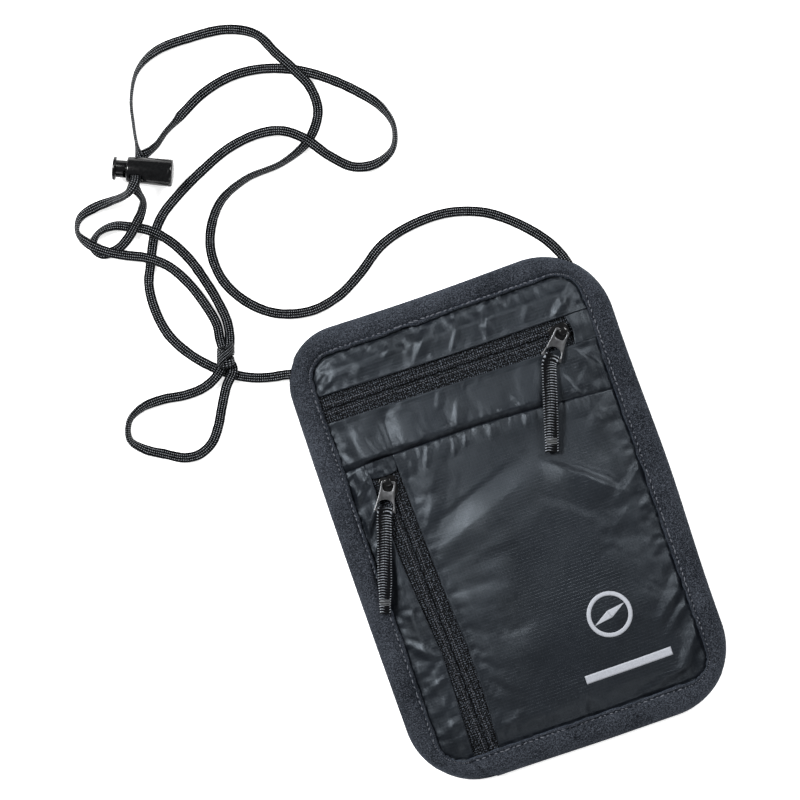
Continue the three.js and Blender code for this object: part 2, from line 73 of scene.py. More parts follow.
class Nodes:
    """A material's node tree, with short calls for the nodes used here."""

    def __init__(self, name):
        self.material = bpy.data.materials.new(name)
        self.material.use_nodes = True
        self.tree = self.material.node_tree
        self.tree.nodes.clear()
        self.out = self.tree.nodes.new("ShaderNodeOutputMaterial")
        self.shader = self.tree.nodes.new("ShaderNodeBsdfPrincipled")
        self.tree.links.new(self.shader.outputs[0], self.out.inputs[0])

    def put(self, socket, value):
        """Links a socket to another, or sets its value."""
        if isinstance(value, bpy.types.NodeSocket):
            self.tree.links.new(value, socket)
        elif isinstance(value, tuple) and len(value) == 3 and socket.type == "RGBA":
            socket.default_value = (*value, 1)
        else:
            socket.default_value = value

    def set(self, **values):
        for key, value in values.items():
            self.put(self.shader.inputs[key.replace("_", " ")], value)

    def math(self, operation, a, b=0.0, c=0.0):
        node = self.tree.nodes.new("ShaderNodeMath")
        node.operation = operation
        for socket, value in zip(node.inputs, (a, b, c)):
            self.put(socket, value)
        return node.outputs[0]

    def where(self):
        return self.tree.nodes.new("ShaderNodeTexCoord").outputs["Object"]

    def map(self, name):
        node = self.tree.nodes.new("ShaderNodeUVMap")
        node.uv_map = name
        return node.outputs[0]

    def split(self, vector):
        node = self.tree.nodes.new("ShaderNodeSeparateXYZ")
        self.put(node.inputs[0], vector)
        return node.outputs

    def noise(self, vector, scale, detail=2.0, rough=0.5):
        node = self.tree.nodes.new("ShaderNodeTexNoise")
        self.put(node.inputs["Vector"], vector)
        node.inputs["Scale"].default_value = scale
        node.inputs["Detail"].default_value = detail
        node.inputs["Roughness"].default_value = rough
        return node.outputs["Fac"]

    def ramp(self, fac, low, high, colour_low, colour_high):
        node = self.tree.nodes.new("ShaderNodeValToRGB")
        self.put(node.inputs[0], fac)
        node.color_ramp.elements[0].position = low
        node.color_ramp.elements[1].position = high
        node.color_ramp.elements[0].color = (*colour_low, 1)
        node.color_ramp.elements[1].color = (*colour_high, 1)
        return node.outputs[0]

    def grey(self, fac, low, high, a, b):
        node = self.tree.nodes.new("ShaderNodeMapRange")
        self.put(node.inputs[0], fac)
        for i, value in enumerate((low, high, a, b)):
            node.inputs[i + 1].default_value = value
        return node.outputs[0]

    def bump(self, height, strength, distance):
        node = self.tree.nodes.new("ShaderNodeBump")
        node.inputs["Strength"].default_value = strength
        node.inputs["Distance"].default_value = distance
        self.put(node.inputs["Height"], height)
        self.put(self.shader.inputs["Normal"], node.outputs[0])

    def wave(self, coordinate, pitch):
        """0 to 1 and back over each pitch."""
        turns = self.math("MULTIPLY", coordinate, 2 * math.pi / pitch)
        return self.math("MULTIPLY_ADD", self.math("SINE", turns), 0.5, 0.5)


COOL = (0.80, 0.90, 1.0)  # the tint of the fabrics' highlights


def shell_material(name, low, high, rough):
    """Thin ripstop nylon: a fine plain weave with a heavier grid, and a satin sheen."""
    n = Nodes(name)
    where = n.where()
    x, y, _ = n.split(where)
    weave = n.math("MULTIPLY", n.wave(x, 0.00042), n.wave(y, 0.00042))
    grid_x = n.math("GREATER_THAN", n.wave(x, 0.00125), 0.86)
    grid_y = n.math("GREATER_THAN", n.wave(y, 0.00125), 0.86)
    grid = n.math("MAXIMUM", grid_x, grid_y)
    height = n.math("MULTIPLY_ADD", grid, 0.6, weave)
    blotch = n.noise(where, 60, 3)
    shade = n.math("MULTIPLY_ADD", grid, 0.26, blotch)
    shade = n.math("MULTIPLY_ADD", weave, 0.12, shade)
    n.set(
        Base_Color=n.ramp(shade, 0.3, 0.85, low, high),
        Roughness=n.grey(n.noise(where, 300, 2), 0.3, 0.7, rough - 0.03, rough + 0.04),
        Specular_IOR_Level=0.5,
        Sheen_Weight=0.04,
        Sheen_Roughness=0.35,
        Sheen_Tint=(0.7, 0.8, 1.0),
        Specular_Tint=COOL,
    )
    n.bump(height, 0.5, 0.00007)
    return n.material


def felt_material(name, low, high):
    """Brushed stretch binding: matt, speckled and slightly fuzzy."""
    n = Nodes(name)
    where = n.where()
    speckle = n.noise(where, 2100, 3, 0.75)
    fleck = n.math("GREATER_THAN", n.noise(where, 2300, 1, 0.5), 0.63)
    patch = n.noise(where, 70, 2)
    shade = n.math("MULTIPLY_ADD", patch, 0.25, speckle)
    shade = n.math("MULTIPLY_ADD", fleck, 0.18, shade)
    n.set(
        Base_Color=n.ramp(shade, 0.53, 0.96, low, high),
        Roughness=0.9,
        Specular_IOR_Level=0.16,
        Sheen_Weight=0.10,
        Sheen_Roughness=0.45,
        Sheen_Tint=(0.5, 0.65, 0.9),
        Specular_Tint=COOL,
    )
    n.bump(speckle, 0.9, 0.0004)
    return n.material


def knit_material(name, low, high, pitch, columns, flecks, regular, random, quiet, selvedge, drift=0.0):
    """
    Knitted or ribbed narrow fabric, read from its own map of millimetres along and across.

    Ribs follow one another at a pitch, in columns of a width. regular and random are the shares of the ribs and of the
    flecks. quiet is a darker band, and selvedge where the lit edge starts, both in millimetres from the middle. drift
    moves the columns sideways along the strip, as it twists.
    """
    n = Nodes(name)
    place = n.map("weave")
    u, v, _ = n.split(place)
    aside = n.math("ABSOLUTE", v)
    if drift:
        v = n.math("ADD", v, n.math("MULTIPLY_ADD", u, drift, -STRAP_TURN * drift))
    column = n.wave(v, columns)
    rib = n.math("POWER", n.wave(n.math("MULTIPLY_ADD", column, pitch * 0.45, u), pitch), 1.6)
    stitch = n.math("MULTIPLY", rib, n.grey(column, 0.0, 1.0, 0.45, 1.0))
    speckle = n.noise(place, flecks, 2, 0.8)
    calm = n.math("MULTIPLY", n.math("GREATER_THAN", aside, quiet[0]), n.math("LESS_THAN", aside, quiet[1]))
    edge = n.math("MULTIPLY", n.math("GREATER_THAN", aside, selvedge), rib)
    shade = n.math("MULTIPLY_ADD", stitch, regular, n.math("MULTIPLY", speckle, random))
    shade = n.math("SUBTRACT", shade, n.math("MULTIPLY", calm, 0.16))
    shade = n.math("MULTIPLY_ADD", edge, 0.28, shade)
    n.set(Base_Color=n.ramp(shade, 0.59, 1.0, low, high), Roughness=0.8, Specular_IOR_Level=0.1)
    n.bump(shade, 0.8, 0.0003)
    return n.material


def plain_material(name, colour, rough, metal=0.0, specular=0.5, scratch=0.15, scale=700):
    """Moulded plastic, wire or enamelled metal with fine handling marks."""
    n = Nodes(name)
    where = n.where()
    marks = n.noise(where, scale, 4, 0.65)
    light = tuple(min(1.0, c * 1.5 + 0.004) for c in colour)
    n.set(
        Base_Color=n.ramp(marks, 0.35, 0.8, colour, light),
        Roughness=n.grey(marks, 0.3, 0.75, rough, rough + scratch),
        Metallic=metal,
        Specular_IOR_Level=specular,
    )
    n.bump(marks, 0.12, 0.00005)
    return n.material


def cord_material(name):
    """Flat braid: dark strands in V rows with light flecks, read from the cord's own lengthwise map."""
    n = Nodes(name)
    u, v, _ = n.split(n.map("cord"))
    rib = n.wave(n.math("ADD", v, 0.125), 0.5)
    bend = n.math("ABSOLUTE", n.math("SINE", n.math("MULTIPLY", v, 2 * math.pi)))
    slant = n.math("MULTIPLY_ADD", bend, 0.3, u)
    strand = n.wave(slant, 0.8)
    fleck = n.noise(n.where(), 2600, 1, 0.6)
    height = n.math("MULTIPLY_ADD", rib, 0.9, strand)
    crest = n.math("MULTIPLY", n.math("POWER", rib, 1.6), n.math("MULTIPLY_ADD", strand, 0.85, 0.15))
    shade = n.math("MULTIPLY_ADD", crest, 0.6, n.math("MULTIPLY", fleck, 0.6))
    # Painted shade: the braid's colour is darkened across its outer edges. This stands in for the shade on its rounded
    # edges and gives the dark outline where it lies on edge.
    painted_edge_shade = n.math("GREATER_THAN", n.math("ABSOLUTE", v), 0.86)
    shade = n.math("MULTIPLY_ADD", painted_edge_shade, -0.16, shade)
    n.set(
        Base_Color=n.ramp(shade, 0.54, 0.90, (0.0001, 0.0002, 0.0003), (0.38, 0.40, 0.43)),
        Roughness=0.34,
        Specular_IOR_Level=0.12,
        Specular_Tint=(0.82, 0.91, 1.0),
    )
    n.bump(height, 1.0, 0.0003)
    return n.material


STRAP_TURN = 37  # about how far along the strap's own map its top side starts, in millimetres
MAT = {
    "shell": shell_material("shell_ripstop", (0.0011, 0.0017, 0.0029), (0.0055, 0.0072, 0.0106), 0.39),
    "lining": shell_material("lining_nylon", (0.005, 0.006, 0.008), (0.014, 0.016, 0.02), 0.6),
    "felt": felt_material("binding_felt", (0.0018, 0.0023, 0.0036), (0.084, 0.094, 0.116)),
    "stitch": plain_material("sewing_thread", (0.09, 0.097, 0.115), 0.6, scratch=0.1),
    "coil": plain_material("nylon_coil", (0.008, 0.008, 0.009), 0.35),
    "enamel": plain_material("slider_enamel", (0.002, 0.002, 0.0025), 0.14, scratch=0.08),
    "gunmetal": plain_material("gunmetal", (0.15, 0.153, 0.16), 0.30, metal=1.0, scratch=0.16, scale=500),
    "print": plain_material("reflective_silver", (0.31, 0.325, 0.36), 0.5, specular=0.4, scratch=0.12, scale=2500),
    "lock": plain_material("lock_nylon", (0.0012, 0.0014, 0.0018), 0.13, specular=0.38, scratch=0.10, scale=900),
    "wire": plain_material("spring_wire", (0.4, 0.41, 0.43), 0.25, metal=1.0),
    "cord": cord_material("cord_braid"),
    "tape": knit_material(
        "zip_tape_knit", (0.0001, 0.0002, 0.0004), (0.225, 0.26, 0.315), 0.9, 1.15, 1.6, 0.2, 1.0, (1.45, 1.85), 9),
    "webbing": knit_material(
        "grosgrain", (0.0008, 0.0011, 0.0017), (0.36, 0.39, 0.43), 1.0, 5.4, 1.7, 0.62, 0.5, (-1, 0.12), 2.1, 0.075),
    "tack": plain_material("tack_thread", (0.085, 0.09, 0.095), 0.6, scratch=0.1),
}

# ------------------------------------------------------------------ mesh helpers


def piece(name, verts, faces, material, body):
    """A mesh object from points in millimetres, riding on a body."""
    mesh = bpy.data.meshes.new(name)
    mesh.from_pydata([tuple(c * MM for c in v) for v in verts], [], [tuple(f) for f in faces])
    mesh.validate()
    return adopt(name, mesh, material, body)


def adopt(name, mesh, material, body):
    """A smooth-shaded object from a mesh, with its material and body."""
    made = link(name, mesh)
    mesh.materials.clear()
    mesh.materials.append(MAT[material])
    mesh.polygons.foreach_set("use_smooth", [True] * len(mesh.polygons))
    if body:
        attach(made, body)
    return made


def settle(made):
    """Applies an object's modifiers to its mesh."""
    graph = bpy.context.evaluated_depsgraph_get()
    graph.update()
    mesh = bpy.data.meshes.new_from_object(made.evaluated_get(graph))
    made.modifiers.clear()
    old = made.data
    made.data = mesh
    bpy.data.meshes.remove(old)


def loft(rows, ends=True):
    """Points and faces of a tube through equal rings of points."""
    count = len(rows[0])
    verts = [p for row in rows for p in row]
    faces = grid_faces(len(rows), count, closed=True)
    if ends:
        faces.append(tuple(reversed(range(count))))
        faces.append(tuple((len(rows) - 1) * count + j for j in range(count)))
    return verts, faces


def add_tube(verts, faces, rows, flip=False, ends=True):
    """Adds a tube to a mesh that holds several."""
    base = len(verts)
    points, quads = loft(rows, ends)
    verts += points
    faces += [tuple(base + i for i in (quad[::-1] if flip else quad)) for quad in quads]


def grid_faces(rows, cols, flip=False, base=0, closed=False):
    """Faces between the points of a grid, which are numbered row by row; closed joins its last column to its first."""
    faces = []
    for r in range(rows - 1):
        for c in range(cols if closed else cols - 1):
            a, b = base + r * cols + c, base + r * cols + (c + 1) % cols
            faces.append((a, a + cols, b + cols, b) if flip else (a, b, b + cols, a + cols))
    return faces


# For each side of a sheet, the way back under it and whether its hem's faces turn over.
HEMS = {"left": (1, 0, False), "right": (-1, 0, True), "low": (0, 1, True), "high": (0, -1, False)}


def fold_hems(verts, faces, rows, cols, sides, steps):
    """Turns a sheet's edges down and back under it; steps are pairs of a depth and a distance back."""
    lines = {
        "left": range(0, rows * cols, cols), "right": range(cols - 1, rows * cols, cols),
        "low": range(cols), "high": range((rows - 1) * cols, rows * cols),
    }
    for side in sides:
        back_x, back_y, flip = HEMS[side]
        line = previous = lines[side]
        for depth, back in steps:
            new = []
            for i in line:
                x, y, z = verts[i]
                new.append(len(verts))
                verts.append((x + back_x * back, y + back_y * back, z + depth))
            for a in range(len(line) - 1):
                quad = (previous[a], previous[a + 1], new[a + 1], new[a])
                faces.append(quad[::-1] if flip else quad)
            previous = new


def face_outward(made):
    """Turns all faces of a closed mesh outward."""
    bm = bmesh.new()
    bm.from_mesh(made.data)
    bmesh.ops.recalc_face_normals(bm, faces=bm.faces)
    bm.to_mesh(made.data)
    bm.free()
    return made


def circle(radius, count, start=0.0):
    """Points round a circle, as pairs."""
    turns = (start + 2 * math.pi * k / count for k in range(count))
    return [(radius * math.cos(a), radius * math.sin(a)) for a in turns]


def power(value, exponent):
    """A signed power, which squares up an ellipse."""
    return math.copysign(abs(value) ** exponent, value)


def plate(name, loops, middle, half, bevel, material, body, frame_at):
    """A flat plate with rounded edges, from outlines in millimetres; the second and later ones are holes."""
    curve = bpy.data.curves.new(name, "CURVE")
    curve.dimensions = "2D"
    curve.fill_mode = "BOTH"
    for points in loops:
        spline = curve.splines.new("POLY")
        spline.points.add(len(points) - 1)
        for point, (x, y) in zip(spline.points, points):
            point.co = (x * MM, y * MM, 0, 1)
        spline.use_cyclic_u = True
    curve.extrude = (half - bevel) * MM
    curve.bevel_depth = bevel * MM
    curve.bevel_resolution = 2
    curve.offset = -bevel * MM
    holder = link(name + "_outline", curve)
    graph = bpy.context.evaluated_depsgraph_get()
    mesh = bpy.data.meshes.new_from_object(holder.evaluated_get(graph))
    bpy.data.objects.remove(holder)
    bpy.data.curves.remove(curve)
    mesh.transform(frame_at @ Matrix.Translation((0, 0, middle * MM)))
    made = adopt(name, mesh, material, body)
    mesh.name = name
    shade_by_angle(made, 40)
    return made


def shade_by_angle(made, degrees):
    """Smooth faces that meet at more than an angle get a hard edge between them."""
    bm = bmesh.new()
    bm.from_mesh(made.data)
    bmesh.ops.remove_doubles(bm, verts=bm.verts, dist=1e-7)
    limit = math.radians(degrees)
    for edge in bm.edges:
        edge.smooth = len(edge.link_faces) == 2 and edge.calc_face_angle(0) < limit
    bm.to_mesh(made.data)
    bm.free()


def rounded(points, radius, steps=4):
    """A closed outline with its corners rounded; radius is one number or one for each point."""
    out = []
    count = len(points)
    for i, here in enumerate(points):
        r = radius[i] if isinstance(radius, (list, tuple)) else radius
        p = Vector(here)
        before, after = Vector(points[i - 1]) - p, Vector(points[(i + 1) % count]) - p
        r = min(r, before.length / 2.01, after.length / 2.01)
        if r <= 0:
            out.append(tuple(p))
            continue
        a, b = p + before.normalized() * r, p + after.normalized() * r
        for k in range(steps + 1):
            t = k / steps
            q = a * (1 - t) ** 2 + p * 2 * t * (1 - t) + b * t * t
            out.append((q.x, q.y))
    return out


def catmull(points, step=0.5):
    """Even samples along a centripetal Catmull-Rom spline through points of any dimension."""
    pts = np.array(points, float)
    ends = [2 * pts[0] - pts[1], *pts, 2 * pts[-1] - pts[-2]]
    fine = []
    for p0, p1, p2, p3 in zip(ends, ends[1:], ends[2:], ends[3:]):
        d1 = np.linalg.norm((p1 - p0)[:3]) ** 0.5
        d2 = np.linalg.norm((p2 - p1)[:3]) ** 0.5
        d3 = np.linalg.norm((p3 - p2)[:3]) ** 0.5
        m1 = ((p1 - p0) / d1 - (p2 - p0) / (d1 + d2) + (p2 - p1) / d2) * d2
        m2 = ((p2 - p1) / d2 - (p3 - p1) / (d2 + d3) + (p3 - p2) / d3) * d2
        for t in np.linspace(0, 1, 24, endpoint=False):
            h = (2 * t**3 - 3 * t**2 + 1, t**3 - 2 * t**2 + t, -2 * t**3 + 3 * t**2, t**3 - t**2)
            fine.append(h[0] * p1 + h[1] * m1 + h[2] * p2 + h[3] * m2)
    fine.append(pts[-1])
    fine = np.array(fine)
    along = np.concatenate([[0], np.cumsum(np.linalg.norm(np.diff(fine[:, :3], axis=0), axis=1))])
    marks = np.linspace(0, along[-1], max(2, int(round(along[-1] / step)) + 1))
    return np.stack([np.interp(marks, along, fine[:, k]) for k in range(fine.shape[1])], axis=1), marks


def smoothstep(value, low, high):
    """0 below low and 1 above high, with a smooth step between them."""
    t = min(1.0, max(0.0, (value - low) / (high - low)))
    return t * t * (3 - 2 * t)


def weave_map(made, along, across, name="weave"):
    """Maps a lofted piece by its distance along and across, given for each row and each point of a row."""
    layer = made.data.uv_layers.new(name=name)
    loops = np.zeros(len(made.data.loops), dtype=int)
    made.data.loops.foreach_get("vertex_index", loops)
    along, across = np.asarray(along, float), np.asarray(across, float)
    uv = np.stack([along[loops // len(across)], across[loops % len(across)]], axis=1)
    layer.data.foreach_set("uv", uv.astype(np.float32).ravel())


# ------------------------------------------------------------------ the neck cord
# The same route as the CAD's cord solids: x, y, height, and how far the flat braid rolls onto its edge.
REST, OVER = 0.8, 2.4
RIGHT_RUN = [
    (51.8, 80.2, 1.9), (51.9, 82.6, 1.8), (51.2, 85.6, 1.6), (49.6, 89.6, 1.2), (46.9, 94.4, 0.9), (42, 100.4),
    (35, 107), (27.5, 112), (15, 115.9), (0, 115.7), (-12, 112.3), (-23, 105), (-33, 99.8), (-45, 97.8), (-58, 101.5),
    (-67.5, 110), (-72.8, 121), (-72.3, 134.5), (-64.2, 147, REST, 35), (-52, 152.4, REST, 55),
    (-36.7, 153.7, REST, 60), (-25, 158.5, 1.2, 25), (-18, 167.5, 1.6), (-17.8, 177, OVER), (-21, 184.5, OVER),
    (-25.8, 193.5, 1.6, -10), (-30.5, 202.5, REST, -28), (-40, 207.8, REST, -8), (-54, 209.5), (-68, 208.8, REST, 20),
    (-77, 204, REST, 60), (-82.5, 195, REST, 84), (-85, 185, REST, 86), (-86.1, 178.6, 1.9, 80),
    (-86.9, 173.2, 2.9, 30),
]
LEFT_RUN = [
    (-57.4, 77.2, 1.8), (-60, 77.8, 1.6), (-62.5, 78.4, 1.4), (-67, 79.2, 1.1), (-73.3, 81.1), (-80, 84.6),
    (-86.7, 90), (-93.3, 97.5), (-98.3, 106.7), (-100, 116.7), (-99.2, 126.7), (-95.8, 134.5), (-91, 144),
    (-86, 149.8), (-77, 155.6), (-66, 161), (-54, 165.6), (-42, 167, 1), (-33, 165, OVER), (-26, 159.5, OVER),
    (-19.5, 150.5, OVER), (-12, 143.6, 1), (-3.3, 142, REST, 15), (4, 145.3, REST, 55), (7, 153, REST, 66),
    (4.7, 161.7, REST, 40), (-2, 170.3), (-11, 178.6), (-21, 185.2), (-33, 189.7), (-45, 190.7), (-57, 188),
    (-66.2, 183.4, REST, 5), (-69.6, 181.4, REST, 55), (-74.5, 178.8, REST, 68), (-79, 175.6, REST, 62),
    (-83, 174.0, REST, 45), (-85.6, 173.4, 1.0, 15), (-87.0, 172.4, 1.5),
]
TAIL_ONE = [
    (-80.6, 98.8, 1.7), (-79.9, 104.5, 1.7), (-81.7, 113.3, 0.8), (-85, 122.8), (-90, 131.2, 1.6),
    (-96.5, 136.6, 2.7), (-104, 140.3, OVER), (-110.3, 144, OVER), (-115.6, 149, OVER, 20),
    (-117.9, 154.2, 1.8, 65), (-115.3, 158.9, 1, 40), (-109, 160.9, 1.2), (-102.5, 160.9, 3.6, 25),
    (-96.8, 160.6, 9.2, 35), (-93.6, 161.4, 12.2, 30),
]
TAIL_TWO = [
    (-76.8, 98.8, 1.7), (-75.9, 104.5, 1.7), (-76.7, 112, 0.8), (-78.6, 121), (-81.7, 131.2), (-86.5, 140, 1.4),
    (-92, 145.8, OVER), (-98, 149.4, 1.4), (-104.5, 152, REST, 25), (-110.8, 151.2, REST, 50),
    (-114.1, 147.5, REST, 30), (-112, 143.6), (-106, 143.4), (-101, 145.8, 1.5), (-96.5, 149.4, 3.2),
    (-92.4, 153.6, 4.6, 35), (-90.6, 157.2, 7.2, 62), (-91.0, 160.1, 10.0, 40), (-91.5, 161.9, 11.2),
]
END_LOOP = [
    (-79.6, 86.6, 2.6), (-84, 81.4, OVER), (-88.3, 74.6, 0.9), (-91.9, 68.3), (-96.2, 63.2), (-101.7, 60.7),
    (-107.5, 61.2), (-114.2, 65), (-120.8, 69.2, REST, 25), (-124.8, 74.4, REST, 60), (-122.6, 81, REST, 65),
    (-116.7, 84.2, REST, 40), (-108.3, 84.6), (-100, 83.4), (-93, 83.6, 1.2), (-88, 85.2, OVER),
    (-83.8, 88.2, 2.6),
]
LOCK = Vector((-88.9, 168.4, 6.2))
LOCK_TURN = math.radians(-24)
SLANT = math.radians(45)  # how far the cords' way through the lock leans from the upright
STACK = 0.66  # half the distance between the two cords in the lock


def lock_point(along, stack):
    """A point in the lock, along the way the cords go through and across their stack."""
    turn = Matrix.Rotation(LOCK_TURN, 3, "Z") @ Matrix.Rotation(SLANT, 3, "X")
    return tuple(LOCK + turn @ Vector((0, stack, along))) + (0,)


def full(route):
    """Route points with the height and roll that are left out filled in."""
    return [(*p, *(REST, 0)[len(p) - 2:]) for p in route]


def whole_cord():
    """The cord from its right end to its left end, through the lock and the knot twice."""
    route = full(RIGHT_RUN)
    route += [lock_point(s, STACK) for s in (-4.5, 0, 4.5, 7.4)]
    route += full(TAIL_ONE)[::-1]
    route += [(-80.6, 94.5, 2.6, 0), (-80.0, 90.5, 2.8, 0)]
    route += full(END_LOOP)
    route += [(-82.0, 91.2, 2.8, 0), (-78.4, 94.8, 2.6, 0)]
    route += full(TAIL_TWO)
    route += [lock_point(s, -STACK) for s in (6.8, 4.5, 0, -4.5)]
    route += full(LEFT_RUN)[::-1]
    return route


def braid_section(count, wide, thin):
    """Outline of a flat braid with shallow lengthwise ribs."""
    out = []
    for k in range(count):
        a = 2 * math.pi * k / count
        x = power(math.cos(a), 0.75) * wide
        z = power(math.sin(a), 0.62) * thin
        rib = 1 + 0.10 * math.cos(4 * math.pi * x / wide)
        out.append((x, z * rib))
    return out


def lifted(heights, reach, window):
    """Heights raised smoothly so that a section that reaches so far down stays above the floor."""
    short = np.maximum(0, reach - heights)
    half = window // 2
    widest = np.array([short[max(0, i - half):i + half + 1].max() for i in range(len(short))])
    blur = np.hanning(window + 2)[1:-1]
    return heights + np.convolve(np.pad(widest, half, mode="edge"), blur / blur.sum(), "same")[half:-half]


def cord_tube(name, route, body, wide=1.85, thin=0.58, count=32, step=0.5):
    """The flat braid along a route, and its centreline."""
    samples, marks = catmull(route, step)
    centre = samples[:, :3]
    roll = np.radians(samples[:, 3])
    reach = 1.12 * (wide * np.abs(np.sin(roll)) + thin * np.abs(np.cos(roll))) + 0.05
    centre[:, 2] = lifted(centre[:, 2], reach, int(4 / step))
    tangent = np.gradient(centre, axis=0)
    tangent /= np.linalg.norm(tangent, axis=1)[:, None]
    side = np.cross((0, 0, 1), tangent)
    side /= np.maximum(1e-6, np.linalg.norm(side, axis=1))[:, None]
    up = np.cross(tangent, side)
    section = braid_section(count, wide, thin)
    rows = []
    for i in range(len(centre)):
        c, s = math.cos(roll[i]), math.sin(roll[i])
        swell = 1 + 0.05 * noise.noise((marks[i] * 0.35, 3.1, 0))
        row = []
        for k, (x, z) in enumerate(section):
            strand = marks[i] / 0.95 + 0.5 * abs(math.sin(2 * math.pi * k / count * 4))
            x, z = x * swell, z * (1 + 0.045 * math.sin(2 * math.pi * strand))
            row.append(centre[i] + side[i] * (x * c - z * s) + up[i] * (x * s + z * c))
        rows.append(row)
    verts, faces = loft(rows)
    made = piece(name, verts, faces, "cord", body)
    weave_map(made, marks, [x / wide for x, _ in section], "cord")
    return made, centre


cord, cord_path = cord_tube("neck_cord", whole_cord(), "pouch")
CORD_NODES = [
    "cord_right_run", "cord_left_run", "cord_tail_one", "cord_tail_two", "cord_end_loop",
    "cord_pass_upper", "cord_pass_lower",
]
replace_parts(cord, *CORD_NODES)

# ------------------------------------------------------------------ pouch outline and heights
HALF_X, HALF_Y = 62.5, 90.0
CORNERS = (27, 28, 22, 27)  # bottom right, top right, top left, bottom left
WIN_X, WIN_Y, WIN_R = 53.0, 80.0, 9.0


def edge_loop(half_x, half_y, radii, straight=60, arc=30):
    """Points round a rounded rectangle from the left end of its bottom side, with equal counts on every side."""
    br, tr, tl, bl = radii
    centres = [
        (half_x - br, br - half_y, br, -90), (half_x - tr, half_y - tr, tr, 0),
        (tl - half_x, half_y - tl, tl, 90), (bl - half_x, bl - half_y, bl, 180),
    ]
    out = []
    start = Vector((bl - half_x, -half_y))
    for cx, cy, r, a0 in centres:
        a = math.radians(a0)
        end = Vector((cx + r * math.cos(a), cy + r * math.sin(a)))
        out += [tuple(start.lerp(end, k / straight)) for k in range(straight)]
        for k in range(arc):
            a = math.radians(a0 + 90 * k / arc)
            out.append((cx + r * math.cos(a), cy + r * math.sin(a)))
        a = math.radians(a0 + 90)
        start = Vector((cx + r * math.cos(a), cy + r * math.sin(a)))
    return np.array(out)


def inside(x, y):
    """How far a point is inside the binding's inner edge."""
    dx, dy = abs(x) - WIN_X + WIN_R, abs(y) - WIN_Y + WIN_R
    return WIN_R - math.hypot(max(dx, 0), max(dy, 0)) - min(max(dx, dy), 0)


def lying(x, y):
    """Height of the shell's top face where nothing fills it."""
    return 2.5 + 2.35 * smoothstep(inside(x, y), 1.0, 8.0)


def fullness(x, y):
    """How far whatever is in the front pocket lifts the main panel."""
    across = smoothstep(x, -33, -4) * (1 - smoothstep(x, 26, 54))
    along = smoothstep(y, -81, -42) * (1 - smoothstep(y, -8, 30))
    return 3.8 * across * along


def hold_in(x, y, inset=2.0):
    """Keeps a point that runs under the binding inside the pouch's rounded outline."""
    hx, hy = HALF_X - inset, HALF_Y - inset
    x, y = min(hx, max(-hx, x)), min(hy, max(-hy, y))
    for sx, sy, r in ((1, -1, 27), (1, 1, 28), (-1, 1, 22), (-1, -1, 27)):
        r -= inset
        cx, cy = sx * (hx - r), sy * (hy - r)
        dx, dy = (x - cx) * sx, (y - cy) * sy
        d = math.hypot(dx, dy)
        if dx > 0 and dy > 0 and d > r:
            x, y = cx + (x - cx) * r / d, cy + (y - cy) * r / d
    return x, y


# ------------------------------------------------------------------ edge binding
LAP = 1.0  # how far the lapped end stands proud


def bow(x, y):
    """How far the soft edge bulges past its even outline."""
    if abs(x) > abs(y) * HALF_X / HALF_Y:
        return 0.7 * math.cos(math.pi * y / 170) if x < 0 else 0.35 + 0.45 * math.cos(math.pi * y / 52) * (abs(y) < 78)
    return -0.55 * math.cos(math.pi * (x + 4) / 70) if y > 0 else 0.6 * smoothstep(x, -45, 15) - 0.1


